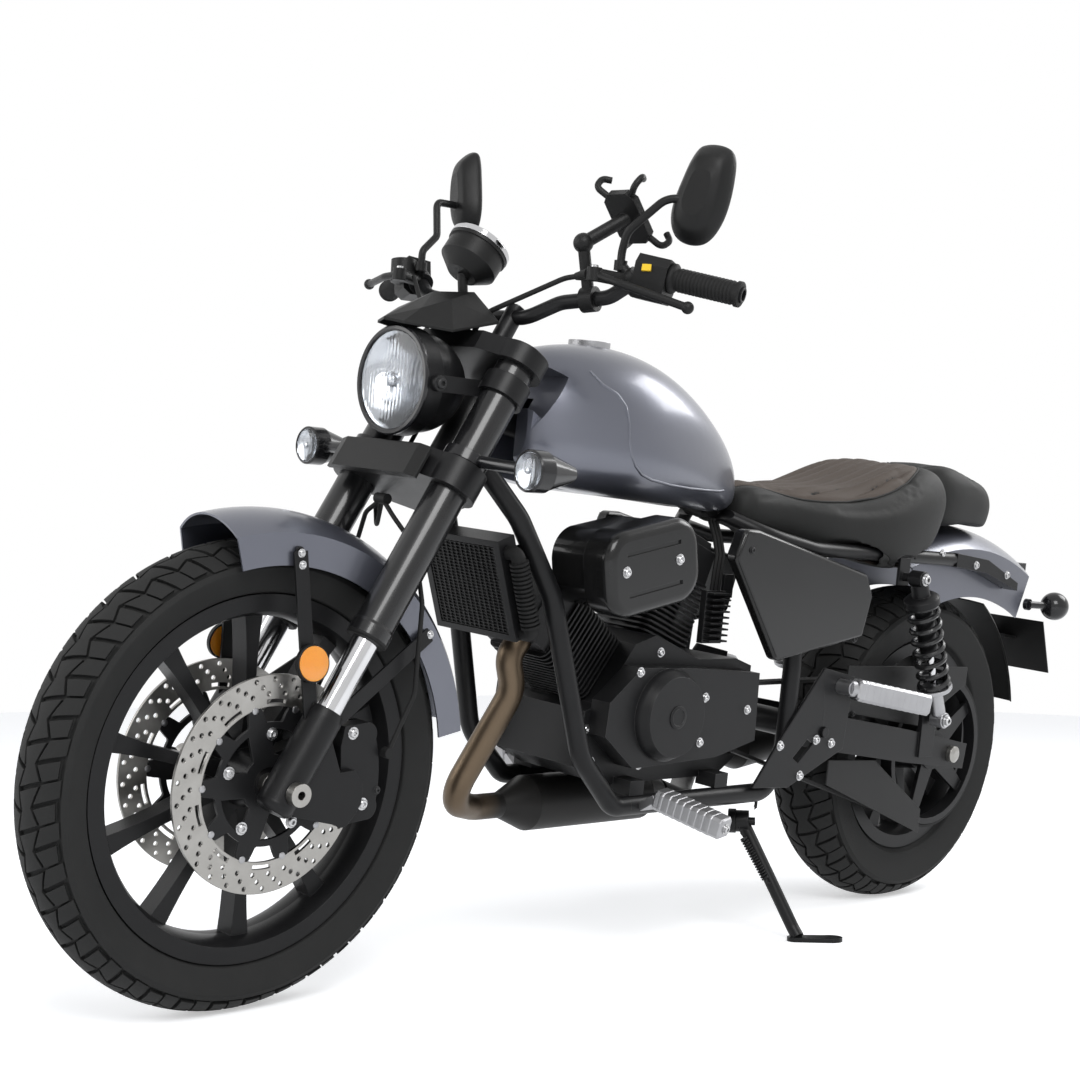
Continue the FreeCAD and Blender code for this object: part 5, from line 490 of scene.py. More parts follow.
def carcass(plan, line, runs, steps=120):
    edge, depth = plan["treadHalf"], plan["depth"]
    half = [(edge * share / 8, depth) for share in range(8)] + [(edge - 3, depth)]
    half += [(edge + past, sink) for past, sink in edgeSteps]
    half += [(runs[-1] * share, sink) for share, sink in wallSteps]
    rows = [(-run, sink) for run, sink in reversed(half[1:])] + half
    points = [onTyre(line, runs, run, sink, math.tau * step / steps)
              for step in range(steps) for run, sink in rows]
    return points, skin(steps, len(rows), closed=True)


def block(plan, line, runs, rungs, side, start):  # one block: its top, and a skirt down to the carcass
    columns = treadPlan["columns"]
    tops, roots = [], []
    for u, inner, outer in rungs:
        for column in range(columns + 1):
            share = inner + (outer - inner) * column / columns
            angle = (start + u + treadPlan["slant"] * share) * math.tau / plan["pitches"]
            run = side * share * plan["treadHalf"]
            tops.append(onTyre(line, runs, run, 0, angle))
            roots.append(onTyre(line, runs, run, plan["depth"] + 0.5, angle))
    wide, tall = columns + 1, len(rungs)
    faces = [(r * wide + c, r * wide + c + 1, (r + 1) * wide + c + 1, (r + 1) * wide + c)
             for r in range(tall - 1) for c in range(columns)]
    rim = list(range(wide)) + [r * wide + columns for r in range(1, tall)]
    rim += [(tall - 1) * wide + c for c in range(columns - 1, -1, -1)]
    rim += [r * wide for r in range(tall - 2, 0, -1)]
    base = len(tops)
    for index, corner in enumerate(rim):
        after = (index + 1) % len(rim)
        faces.append((corner, rim[after], base + after, base + index))
    return tops + [roots[corner] for corner in rim], faces


def makeTyre(name, plan):
    line, runs = tyreLine(plan)
    shapes = [carcass(plan, line, runs)]
    for side in sides:
        for number in range(plan["pitches"]):
            start = number + (0.5 if side < 0 else 0)
            shapes.extend(block(plan, line, runs, rungs, side, start) for rungs in treadBlocks())
    place = bikeMm @ Matrix.Translation((plan["axleX"], 0, plan["radius"]))
    tyre = showShape(name + "_tread_tyre", put(joined(shapes), place), "tyre", plan["body"], 40)
    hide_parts(plan["node"])
    print(name, "tyre", len(tyre.data.polygons), "faces")


for name, plan in tyrePlans.items():
    makeTyre(name, plan)


# Brake rotors: drilled rings floating on black carriers

rotorPlans = {
    "front": dict(at=(1555, 331), y=(68, -68), outer=152.5, inner=108, hub=24, rows=3, columns=30,
        holeRadius=3.6, slots=10, body="front_wheel_set", node="front_discs"),
    "rear": dict(at=(0, 311), y=(-80.8,), outer=130, inner=108, hub=30, rows=2, columns=36,
        holeRadius=2.6, slots=0, body="rear_wheel_set", node="rear_disc"),
}
rotorParts = dict(ringThick=4.6, carrierThick=5, arms=10, windows=5, bolts=5, boltCircle=70,
    pin=((0, -3.6), (3, -3.6), (5, -3), (5, 3), (3, 3.6), (0, 3.6)))


def arcPoints(radius, middle, half, steps):  # from one end of an arc to the other
    angles = [middle + half * (2 * step / steps - 1) for step in range(steps + 1)]
    return [(radius * math.cos(angle), radius * math.sin(angle)) for angle in angles]


def drilledRing(plan):
    outer, inner, rows, columns = plan["outer"], plan["inner"], plan["rows"], plan["columns"]
    outlines = [circle(outer, 120), circle(inner, 120)[::-1]]
    for row in range(rows):
        reach = inner + (outer - inner) * (0.4 + 0.44 * row / (rows - 1))
        for column in range(columns):
            angle = math.tau * (column + 0.33 * row) / columns
            centre = (reach * math.cos(angle), reach * math.sin(angle))
            outlines.append(circle(plan["holeRadius"], 10, centre)[::-1])
    for slot in range(plan["slots"]):  # long slots beside the carrier's arms
        middle = math.tau * (slot + 0.5) / plan["slots"]
        near, far = (arcPoints(inner + reach, middle, 0.13, 10) for reach in (4, 10))
        outlines.append((near + far[::-1])[::-1])
    return outlines


def carrierSheet(plan):
    reach, valley, hub = plan["inner"] + 0.5, plan["inner"] * 0.8, plan["hub"]
    rim = []
    for step in range(240):
        angle = math.tau * step / 240
        lobe = min(max(math.cos(rotorParts["arms"] * angle) * 1.6 + 0.1, 0), 1)
        radius = valley + (reach - valley) * lobe
        rim.append((radius * math.cos(angle), radius * math.sin(angle)))
    outlines = [rim, circle(hub, 48)[::-1]]
    for window in range(rotorParts["windows"]):
        middle = math.tau * (window + 0.5) / rotorParts["windows"]
        low, high = arcPoints(hub + 18, middle, 0.2, 8), arcPoints(valley - 9, middle, 0.4, 8)
        outlines.append((low + high[::-1])[::-1])
    return outlines


def makeRotor(name, plan):
    (x, z), body = plan["at"], plan["body"]
    places = [standing((x, y, z), (0, 1, 0), across=(1, 0, 0)) for y in plan["y"]]
    ring = cutSheet(drilledRing(plan), rotorParts["ringThick"])
    rotor = showCopies(name + "_rotor_rings", ring, places, "disc_steel", body)
    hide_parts(plan["node"])
    carrier = cutSheet(carrierSheet(plan), rotorParts["carrierThick"])
    showCopies(name + "_rotor_carriers", carrier, places, "black_satin", body)
    spots = circle(plan["inner"] - 1, rotorParts["arms"])
    pinPlaces = [place @ Matrix.Translation((*spot, 0)) for place in places for spot in spots]
    showCopies(name + "_rotor_pins", lathe(rotorParts["pin"], 14), pinPlaces, "alloy", body)
    reach = rotorParts["boltCircle"]
    for y in plan["y"]:
        side = 1 if y > 0 else -1
        for bolt in range(rotorParts["bolts"]):
            angle = math.tau * (bolt + 0.22) / rotorParts["bolts"]
            spot = (x + reach * math.cos(angle), y + 2.6 * side, z + reach * math.sin(angle))
            addBolt(body, spot, (0, side, 0), 6.5)


for name, plan in rotorPlans.items():
    makeRotor(name, plan)
print("rotors made")


# Shocks: coil spring round a damper, with a silver clevis below

shockPlan = dict(low=(92, 172, 386), top=(212, 172, 652), coil=dict(radius=27, wire=5, turns=8.5),
    coilShares=(0.27, 0.81), boltOut=15.5)
shockProfiles = {  # radius, share of the shock's length, and millimetres added
    "clevis": ((0, 0, 12), (12, 0, 12), (13.5, 0, 15), (13.5, 0.19, 0), (20, 0.205, 0), (31, 0.215, 0),
        (33, 0.225, 0), (33, 0.245, 0), (28, 0.25, 0), (15, 0.252, 0), (0, 0.252, 0)),
    "damper": ((0, 0.48, 0), (15, 0.48, 0), (17, 0.5, 0), (17, 0.8, 0), (30, 0.815, 0), (33, 0.825, 0),
        (33, 0.865, 0), (28, 0.88, 0), (17, 0.885, 0), (16, 1, -10), (0, 1, -10)),
    "rod": ((0, 0.25, 0), (7, 0.25, 0), (7, 0.5, 0), (0, 0.5, 0)),
}
shockEye = ((8.6, -14), (14, -14), (15, -13), (15, 13), (14, 14), (8.6, 14), (8.6, -14))
shockFinish = {"coils": "black_paint", "clevis": "alloy", "damper": "black_satin", "rod": "chrome"}
parts = {name: [] for name in shockFinish}
coil, (coilLow, coilHigh) = shockPlan["coil"], shockPlan["coilShares"]
for side in sides:
    low, top = mirrored(shockPlan["low"], side), mirrored(shockPlan["top"], side)
    long = (top - low).length
    place = standing(low, top - low)
    spring = helix(coil["radius"], coil["wire"], long * coilLow, long * coilHigh, coil["turns"])
    parts["coils"].append(put(spring, place))
    for part, rows in shockProfiles.items():
        profile = [(radius, long * share + more) for radius, share, more in rows]
        parts[part].append(put(lathe(profile, 20 if part == "rod" else 32), place))
    for end, part in ((low, "clevis"), (top, "damper")):
        parts[part].append(put(lathe(shockEye, 28), standing(end, (0, 1, 0))))
        addBolt("chassis", end + Vector((0, side * shockPlan["boltOut"], 0)), (0, side, 0), 8.5)
for part, shapes in parts.items():
    piece = showShape("shock_" + part, joined(shapes), shockFinish[part], "chassis")
    if part == "coils":
        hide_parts("rear_shocks")
print("shocks made")


# Ribbed grips, and the yellow horn button on the left switch case

gripPlan = dict(inner=(1113, 262, 1089), end=(1057, 398, 1065), long=111.3, bolt=(1179, 220, 1087),
    flange=((11.4, 0), (21, 0), (22, 1), (22, 5), (20, 7), (16.4, 9)), ribCount=15,
    firstRib=13, ribPitch=5.6, rib=((16.2, 0), (17.4, 1), (17.4, 3.4), (16.2, 4.4)),
    tip=((16.4, 99), (18.6, 101), (18.6, 107), (17.4, 108), (11.4, 108)))
horn = dict(inward=30, ahead=(1, 0.4, 0.25), across=(-0.4, 1, 0), box=((-7, -5, -1), (7, 5, 2.4)))


def gripStart(side):
    inner, end = mirrored(gripPlan["inner"], side), mirrored(gripPlan["end"], side)
    along = (end - inner).normalized()
    return end - along * gripPlan["long"], along


profile = list(gripPlan["flange"])
for rib in range(gripPlan["ribCount"]):
    start = gripPlan["firstRib"] + rib * gripPlan["ribPitch"]
    profile += [(radius, start + height) for radius, height in gripPlan["rib"]]
profile += gripPlan["tip"]
places = [standing(*gripStart(side)) for side in sides]
grip = showCopies("ribbed_grips", lathe(profile, 28), places, "rubber", smooth=50)
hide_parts("grips")
boltPair("steering", gripPlan["bolt"], (0, 0, 1), 5.5)

start, along = gripStart(1)
ahead = Vector(horn["ahead"]).normalized()
outside = start - along * horn["inward"] + ahead * 80
hit = treeOf("bar_controls").ray_cast(bikeMm @ outside, (bikeMm.to_3x3() @ -ahead).normalized())[0]
if hit is not None:
    place = standing(bikeBack @ hit, ahead, across=horn["across"])
    showCopies("horn_button", slab(*horn["box"]), [place], "yellow")


# Headlight and front indicators: fluted glass over a bright bowl

flutePitch = 7.2
headlight = dict(
    at=(1351, 0, 901), bolt=(1334, 89, 901), bowlBack=1.6, glass=dict(radius=71.5, rise=13, ridge=1.3),
    bowl=dict(radius=71.8, rise=9, ridge=1.1, rings=24, spokes=120),
    hood=((0, 1), (5, 0.4), (9, -2), (11, -6), (11, -10.4)),
    bezel=((72.3, -2), (72.3, 1.2), (74, 2.4), (78, 2.2), (80, 0.3), (80, -3), (80.6, -3), (80.8, 0.6),
        (78.4, 3), (73.6, 3.2), (71.6, 1.4), (71.6, -2), (72.3, -2)))
signal = dict(
    at=(1302, 256, 791), glass=dict(radius=26.4, rise=8, ridge=0.5, rings=14, spokes=48),
    bulb=((0, 0.5), (4, 0.5), (4.2, 3), (0, 3.8)), bowl=((0, 0.4), (26, 0.5), (26.4, 1.2)),
    rim=((26.4, 0), (26.4, 2.4), (28, 3), (30, 1), (30, 0)))


def flutedGlass(radius, rise, ridge, rings=26, spokes=96):  # dome with ripples, plain at its rim
    ball = (radius ** 2 + rise ** 2) / (2 * rise)
    points = []
    for ring in range(rings + 1):
        reach = radius * ring / rings
        swell = rise - ball + math.sqrt(ball ** 2 - reach ** 2)
        for x, y in circle(reach, spokes):
            ripple = ridge * abs(math.sin(math.pi * x / flutePitch)) * min(1, (radius - reach) / 6)
            points.append((x, y, swell - ripple))
    return points, skin(rings + 1, spokes)


place = standing(headlight["at"], (1, 0, 0))
hollow = place @ Matrix.Translation((0, 0, -headlight["bowlBack"])) @ Matrix.Diagonal((1, 1, -1, 1))
glass = showCopies("headlight_glass", flutedGlass(**headlight["glass"]), [place], "lamp_glass", smooth=60)
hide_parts("headlight_lens")
showCopies("headlight_bowl", flutedGlass(**headlight["bowl"]), [hollow], "reflector", smooth=50)
showCopies("headlight_hood", lathe(headlight["hood"]), [place], "reflector")
showCopies("headlight_bezel", lathe(headlight["bezel"], 96), [place], "gloss_black")
boltPair("steering", headlight["bolt"], (0, 1, 0), 8, "black_bolt")

places = [standing(mirrored(signal["at"], side), (1, 0, 0)) for side in sides]
bowl = joined([lathe(signal["bulb"], 20), lathe(signal["bowl"], 40)])
showCopies("signal_glasses", flutedGlass(**signal["glass"]), places, "lamp_glass", smooth=60)
showCopies("signal_bowls", bowl, places, "reflector")
showCopies("signal_rims", lathe(signal["rim"], 48), places, "gloss_black")


# Round instrument: ring, dark glass and ticks

gauge = dict(
    at=(1206, 0, 1117), lean=33.5, tickCount=29, tickSpan=260, tickReach=35, tickLongs=(7, 4, 4, 4),
    ring=((43, 0), (43, 2), (44.5, 3.6), (47, 3.4), (48.6, 1.4), (48.8, -6), (48.1, -6), (48.1, 0)),
    glass=((0, 2.4), (20, 2.2), (38, 1.4), (43, 0.6)))
lean = math.radians(gauge["lean"])
place = standing(gauge["at"], (-math.sin(lean), 0, math.cos(lean)))
showCopies("gauge_ring", lathe(gauge["ring"], 72), [place], "chrome")
showCopies("gauge_glass", lathe(gauge["glass"], 72), [place], "gloss_black")
ticks = []
for tick in range(gauge["tickCount"]):
    angle = math.radians(gauge["tickSpan"] * (tick / (gauge["tickCount"] - 1) - 0.5))
    reach, long = gauge["tickReach"], gauge["tickLongs"][tick % 4]
    mark = slab((reach - long, -0.6, 1.2), (reach, 0.6, 2.1))
    ticks.append(put(mark, Matrix.Rotation(-angle, 4, "Z")))
showCopies("gauge_ticks", joined(ticks), [place], "mirror_glass")


# Mirror glasses

mirror = dict(
    centres={1: (1078, 316, 1206), -1: (1022, -264, 1234)}, tilt=20, back=18.5, half=(37.8, 59.64),
    thick=0.6, ring=((-0.14, 0.99), (0.45, 1.0), (0.85, 0.88), (1.0, 0.43), (0.92, -0.1), (0.65, -0.65),
        (0.17, -0.98), (-0.35, -1.0), (-0.75, -0.88), (-1.0, -0.55), (-0.93, -0.09),
        (-0.68, 0.4), (-0.38, 0.84)))


def smoothRing(corners, steps):  # smooth closed curve through the corners
    spots = []
    for index in range(len(corners) * steps):
        corner, t = index // steps, index % steps / steps
        near = [corners[(corner + k) % len(corners)] for k in (-1, 0, 1, 2)]
        spots.append([0.5 * (2 * b + (c - a) * t + (2 * a - 5 * b + 4 * c - d) * t * t
                             + (3 * b - a - 3 * c + d) * t ** 3) for a, b, c, d in zip(*near)])
    return spots


tilt, (wide, tall) = math.radians(mirror["tilt"]), mirror["half"]
mirrors = []
for side, centre in mirror["centres"].items():
    forward = Vector((math.cos(tilt), side * math.sin(tilt), 0))
    outward = Vector((-math.sin(tilt), side * math.cos(tilt), 0))
    back = Vector(centre) - forward * mirror["back"]
    rear = [back + outward * (x * wide) + Vector((0, 0, y * tall))
            for x, y in smoothRing(mirror["ring"], 4)]
    front = [point + forward * mirror["thick"] for point in rear]
    mirrors.append((rear + front, shutSkin(2 * len(rear), len(rear))))
showCopies("mirror_glasses", joined(mirrors), [bikeMm], "mirror_glass")


# Rims and lenses of the reflectors on the front stays

reflector = dict(
    hub=(1555, 78, 331), stayReach=321.78, stayAngle=92, stayFoot=(16.2, 105, 97.6), share=0.66,
    rimOut=8, lensOut=16.2, rim=((24.3, 0), (24.3, 7.6), (25.8, 7.6), (26.6, 6.6), (26.6, 0.6), (24.3, 0)),
    lens=((0, 1.8), (10, 1.6), (18, 1), (22.6, 0)))
reach, angle = reflector["stayReach"], math.radians(reflector["stayAngle"])
rimPlaces, lensPlaces = [], []
for side in sides:
    top = mirrored(reflector["hub"], side) + Vector((reach * math.cos(angle), 0, reach * math.sin(angle)))
    low = forkToBike @ mirrored(reflector["stayFoot"], side)
    spot = top + (low - top) * reflector["share"]
    along = (low - top).normalized()
    face = Vector((0, side, 0))
    face = (face - along * face.dot(along)).normalized()
    rimPlaces.append(standing(spot + face * reflector["rimOut"], face))
    lensPlaces.append(standing(spot + face * reflector["lensOut"], face))
showCopies("reflector_rims", lathe(reflector["rim"], 48), rimPlaces, "black_plastic")
showCopies("reflector_lenses", lathe(reflector["lens"], 40), lensPlaces, "amber")


# Fork caps, seal rings and clamp bolts

forkPlan = dict(
    bolt=(12, 52, 797), seal=((20.2, 233), (28, 233), (30.5, 235), (30.5, 240), (29.2, 242)),
    cap=((0, 715), (24, 715), (25, 716), (25, 719), (22, 721), (13, 721), (13, 727), (12, 728), (0, 728)))
legs = [forkMm @ Matrix.Translation((0, side * bikePlan["legY"], 0)) for side in sides]
showCopies("fork_caps", lathe(forkPlan["cap"], 36), legs, "alloy")
showCopies("fork_seals", lathe(forkPlan["seal"], 40), legs, "rubber")
boltPair("steering", forkPlan["bolt"], (0, 0, 1), 7, base=forkMm)
print("grips, lamps, gauge and mirrors made")


# Seats: foam blown up as cloth, then channels pressed into the insert and piping round it

seatPlans = {
    "rider_seat": dict(middle=336, reach=252, insertShare=0.8, insert=True, name="rider_cushion"),
    "pillion_seat": dict(middle=-55, reach=95, insertShare=0.72, insert=False, name="pillion_cushion"),
}
stuffing = dict(voxel=0.006, shrink=0.003, pressure=4, frames=16, cap=0.007)  # lengths in metres
seatLines = dict(seamWide=5, seamDeep=3.2, channel=30, channelDeep=9, channelRise=0.8, margin=6, fade=12,
    pipingRadius=2.1, pipingSteps=90, station=20)


def evaluated(piece):
    return piece.evaluated_get(bpy.context.evaluated_depsgraph_get())


def puffed(piece):  # the cover swells from a slightly smaller shape; its underside stays put
    mesh = piece.data
    mesh.update()
    for vertex, inward in zip(mesh.vertices, [v.normal * stuffing["shrink"] for v in mesh.vertices]):
        vertex.co -= inward
    rest = [vertex.co.copy() for vertex in mesh.vertices]
    held = piece.vertex_groups.new(name="underside")
    for vertex in mesh.vertices:
        weight = min(max(0.35 - vertex.normal.z * 1.2, 0), 1)
        held.add([vertex.index], weight, "REPLACE")
    cloth = piece.modifiers.new("stuffing", "CLOTH")
    cloth.settings.quality = 4
    cloth.settings.mass = 0.3
    cloth.settings.use_pressure = True
    cloth.settings.uniform_pressure_force = stuffing["pressure"]
    cloth.settings.effector_weights.gravity = 0
    cloth.settings.vertex_group_mass = held.name
    cloth.collision_settings.use_collision = False
    cloth.point_cache.frame_end = stuffing["frames"]
    for step in range(1, stuffing["frames"] + 1):
        scene.frame_set(step)
    ends = [vertex.co.copy() for vertex in evaluated(piece).data.vertices]
    piece.modifiers.remove(cloth)
    scene.frame_set(1)
    for vertex, start, end in zip(mesh.vertices, rest, ends):
        move = end - start
        vertex.co = start + move * min(1, stuffing["cap"] / max(move.length, 1e-9))
    mesh.update()


def foamOf(source):  # swollen and rounded copy of a solid, in the upright bike's millimetres
    work = source.copy()
    work.data = source.data.copy()
    scene.collection.objects.link(work)
    remesh = work.modifiers.new("foam", "REMESH")
    remesh.mode = "VOXEL"
    remesh.voxel_size = stuffing["voxel"]
    smooth = work.modifiers.new("smooth", "SMOOTH")
    smooth.factor = 0.5
    smooth.iterations = 6
    work.data = bpy.data.meshes.new_from_object(evaluated(work))
    work.modifiers.clear()
    puffed(work)
    finer = work.modifiers.new("finer", "SUBSURF")
    finer.levels = 1
    foam = bpy.data.meshes.new_from_object(evaluated(work))
    bpy.data.objects.remove(work)
    foam.materials.clear()
    foam.transform(bikeBack)
    foam.update()
    return foam


def halfWidths(mesh):  # gives the seat's half width at any place along it
    station, widths = seatLines["station"], {}
    for vertex in mesh.vertices:
        key = round(vertex.co.x / station)
        widths[key] = max(widths.get(key, 0), abs(vertex.co.y))

    def halfAt(x):
        low = math.floor(x / station)
        share = x / station - low
        here = widths.get(low, 60)
        return here * (1 - share) + widths.get(low + 1, here) * share

    return halfAt


def insertHalf(plan, halfAt, x):  # half width of the insert, round at both ends and 0 past them
    share = min(abs(x - plan["middle"]) / plan["reach"], 1)
    return halfAt(x) * plan["insertShare"] * math.sqrt(max(0, 1 - share ** 4))


def pressLines(plan, halfAt, mesh):  # a seam round the insert, and channels along it
    moves = []
    for vertex in mesh.vertices:
        y, up = vertex.co.y, max(0, vertex.normal.z)
        half = insertHalf(plan, halfAt, vertex.co.x)
        inside = half - abs(y)
        move = 0
        if half > 8:
            border = math.exp(-(inside / seatLines["seamWide"]) ** 2) * seatLines["seamDeep"]
            move -= border * min(1, up * 2)
            if inside > seatLines["margin"] and plan["insert"]:
                valley = abs(math.sin(math.pi * (y / seatLines["channel"] + 0.5)))
                fade = min(1, (inside - seatLines["margin"]) / seatLines["fade"]) * min(1, up * 1.6)
                move += (valley ** 0.5 - seatLines["channelRise"]) * seatLines["channelDeep"] * fade
        moves.append(vertex.normal * move)
    for vertex, move in zip(mesh.vertices, moves):
        vertex.co += move
    mesh.update()


def insertFaces(plan, halfAt, mesh):  # 1 for the faces that take the insert's finish
    cover = []
    for polygon in mesh.polygons:
        inside = abs(polygon.center.y) < insertHalf(plan, halfAt, polygon.center.x)
        cover.append(1 if plan["insert"] and polygon.normal.z > 0.25 and inside else 0)
    return cover


def pipingPath(plan, halfAt, mesh):  # round the insert: up the left, back down the right
    tree = meshTree(mesh)
    path = []
    for index in range(seatLines["pipingSteps"] + 1):
        angle = math.tau * index / seatLines["pipingSteps"]
        along = math.copysign(abs(math.cos(angle)) ** 0.6, math.cos(angle))
        x = plan["middle"] + (plan["reach"] - 3) * along
        y = insertHalf(plan, halfAt, x) * (1 if math.sin(angle) >= 0 else -1)
        hit = tree.ray_cast(Vector((x, y, 1200)), Vector((0, 0, -1)))[0]
        if hit is not None:
            spot = hit + Vector((0, 0, 0.6))
            if not path or (spot - path[-1]).length > 3:
                path.append(spot)
    return path


def softSeat(nodeName, plan):
    foam = foamOf(nodes[nodeName])
    halfAt = halfWidths(foam)
    pressLines(plan, halfAt, foam)
    cover = insertFaces(plan, halfAt, foam)
    path = pipingPath(plan, halfAt, foam)
    foam.transform(bikeMm)
    piece = showMesh(plan["name"], foam, "seat_cover", "chassis", 70)
    foam.materials.append(materials["seat_insert"])
    foam.polygons.foreach_set("material_index", cover)
    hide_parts(nodeName)
    piping = sweep(path, seatLines["pipingRadius"], 8)
    showShape(plan["name"] + "_piping", put(piping, bikeMm), "seat_cover", "chassis", 60)


for nodeName, plan in seatPlans.items():
    softSeat(nodeName, plan)
print("seats made")


# Pressed line round the tank's side panel

tankLine = dict(radius=2.6, sink=1.2, steps=3, corners=(
    (1040, 948), (1028, 930), (1004, 917), (991, 900), (986, 875), (985, 847), (978, 826), (966, 810),
    (948, 798), (922, 791), (869, 785), (812, 782), (756, 781), (716, 781), (690, 783)))
lines = []
for side in sides:
    spots = []
    for (x0, z0), (x1, z1) in zip(tankLine["corners"], tankLine["corners"][1:]):
        for step in range(tankLine["steps"]):
            share = step / tankLine["steps"]
            spot = onSide(["fuel_tank"], x0 + (x1 - x0) * share, z0 + (z1 - z0) * share, side)
            if spot is not None:
                spots.append(spot - Vector((0, side * tankLine["sink"], 0)))
    lines.append(sweep(spots, tankLine["radius"]))
showCopies("tank_lines", joined(lines), [bikeMm], "tank_paint", "chassis", 60)


# Radiator core: fins across flat tubes, behind the frame of the recess

corePlan = dict(at=(1151, 0, 609), tilt=21, finCount=27, finHalf=69, tubeCount=15, tubeHalf=76)


def spread(half, count):  # even places from one end to the other
    return [half * (2 * step / (count - 1) - 1) for step in range(count)]


place = bikeMm @ Matrix.Translation(corePlan["at"]) @ Matrix.Rotation(math.radians(corePlan["tilt"]), 4, "Y")
core = []
for z in spread(corePlan["finHalf"], corePlan["finCount"]):
    core.append(slab((13.9, -78, z - 0.5), (16.4, 78, z + 0.5)))
for y in spread(corePlan["tubeHalf"], corePlan["tubeCount"]):
    core.append(slab((13.8, y - 1.4, -70.5), (15.6, y + 1.4, 70.5)))
showCopies("radiator_core", joined(core), [place], "black_plastic", "chassis")


# Finned regulator behind the rear cylinder, with its leads

regulator = dict(
    plate=((650, 72, 522), (700, 84, 612)), plug=((628, 74, 600), (652, 80, 640)),
    fin=((652, 83, 526), (698, 99, 529)), finCount=9, finPitch=10,
    lead=((664, 78, 612), (662, 78, 640), (650, 70, 672), (640, 52, 700), (636, 34, 728)),
    leadRadius=3.2, leadOffsets=(0, 9, 18))
shapes = [slab(*regulator["plate"]), slab(*regulator["plug"])]
for fin in range(regulator["finCount"]):
    rise = Matrix.Translation((0, 0, fin * regulator["finPitch"]))
    shapes.append(put(slab(*regulator["fin"]), rise))
showCopies("regulator", joined(shapes), [bikeMm], "engine_black", "chassis")
lead = sweep(regulator["lead"], regulator["leadRadius"])
places = [bikeMm @ Matrix.Translation((offset, 0, 0)) for offset in regulator["leadOffsets"]]
showCopies("regulator_leads", lead, places, "rubber", "chassis", 70)


# Foot pegs: chamfered castings with grip ribs over the plain bars, a bolt in each end

pegPlan = dict(wide=19, tall=16.5, chamfer=5, ribGrow=1.035, pegs=(
    dict(start=(868, 170.3, 288), end=(839.5, 288.3, 262.5), across=(1, 0, 0), ribs=8),
    dict(start=(381, 177.4, 452), end=(236.6, 233, 429.4), across=(0, 0, 1), ribs=10)))


def pegCasting(long, ribs):
    wide, tall, cut, grow = pegPlan["wide"], pegPlan["tall"], pegPlan["chamfer"], pegPlan["ribGrow"]
    rows = [(0, 0.82), (4, 1), (12, 1)]  # place along the peg, and growth of its section
    for rib in range(ribs):
        start = 12 + rib * (long - 24) / ribs
        rows += [(start + 1, grow), (start + 5, grow), (start + 6, 1)]
    rows += [(long - 3, 1), (long, 0.84)]
    corner = [(wide, tall - cut), (wide - cut, tall)]
    section = corner + [(-x, y) for x, y in reversed(corner)]
    section += [(-x, -y) for x, y in section]
    points = [(x * share, y * share, height) for height, share in rows for x, y in section]
    return points, shutSkin(len(points), len(section))


castings = []
for side in sides:
    for peg in pegPlan["pegs"]:
        start, end = mirrored(peg["start"], side), mirrored(peg["end"], side)
        along = end - start
        place = standing(start, along, across=peg["across"])
        castings.append(put(pegCasting(along.length + 2, peg["ribs"]), place))
        addBolt("chassis", end + along.normalized() * 2, along, 6.5)
showShape("peg_castings", joined(castings), "alloy", "chassis", 25)


# Return spring in front of the stand's leg, hooked on its eye and on the leg

springPlan = dict(
    eye=(565, 104, 212), heel=(531, 226, 50), start=30, end=104, ahead=20, coil=5.5, wire=1.5, turns=17,
    hooks=(((6, 16, 0), (20, 20, 0), (30, 20, 2.75), (30, 20, 5.5)),  # down the leg, ahead and aside
        ((104, 20, 5.5), (104, 20, 2.75), (114, 19, 0), (120, 5, 0))))
eye, wireRadius = Vector(springPlan["eye"]), springPlan["wire"]
down = (Vector(springPlan["heel"]) - eye).normalized()
front = (Vector((1, 0, 0)) - down * down.x).normalized()
aside = (Vector((0, 1, 0)) - down * down.y).normalized()
top = eye + down * springPlan["start"] + front * springPlan["ahead"]
long = springPlan["end"] - springPlan["start"]
coils = helix(springPlan["coil"], wireRadius, 0, long, springPlan["turns"], 12)
spring = [put(coils, standing(top, down))]
for hook in springPlan["hooks"]:
    route = [eye + down * low + front * ahead + aside * out for low, ahead, out in hook]
    spring.append(put(sweep(route, wireRadius, 8), bikeMm))
showShape("stand_spring", joined(spring), "black_satin", "stand", 60)
print("tank lines, radiator core, regulator, pegs and stand spring made")


# Bolts on the engine, covers, plates and running gear

coverNodes = ("engine_covers", "engine_cases")
plugPlan = dict(at=(830, 414), profile=((19, -0.5), (19, 1.4), (17.5, 2.4), (14, 2.4), (13, 1), (0, 1)))
boltRows = (  # body, nodes that carry them, places by x and z, radius and finish
    ("chassis", coverNodes, ((915, 520), (903, 485), (951, 459), (974, 389), (816, 510), (731, 507),
        (739, 440), (742, 365), (627, 416), (956, 336), (842, 325)), 6, "bolt_steel"),
    ("chassis", ("pivot_plates",), ((466, 482), (545, 353), (444, 359), (399, 351), (481, 297)), 6.5,
     "bolt_steel"),
    ("chassis", ("side_panels",), ((700, 690), (382, 540), (640, 520)), 5, "black_bolt"),
    ("steering", ("fender_stays",), ((1543, 650), (1541, 634), (1300, 538)), 4.5, "bolt_steel"),
    ("steering", ("fork_feet", "front_calipers"), ((1440, 402), (1412, 300), (1532, 316)), 6.5, "bolt_steel"),
    ("steering", ("front_calipers",), ((1388, 372), (1388, 318)), 4.5, "black_bolt"),
    ("chassis", ("fender_struts", "seat_rails"), ((78, 698), (-36, 679), (-151, 662)), 6, "bolt_steel"),
)
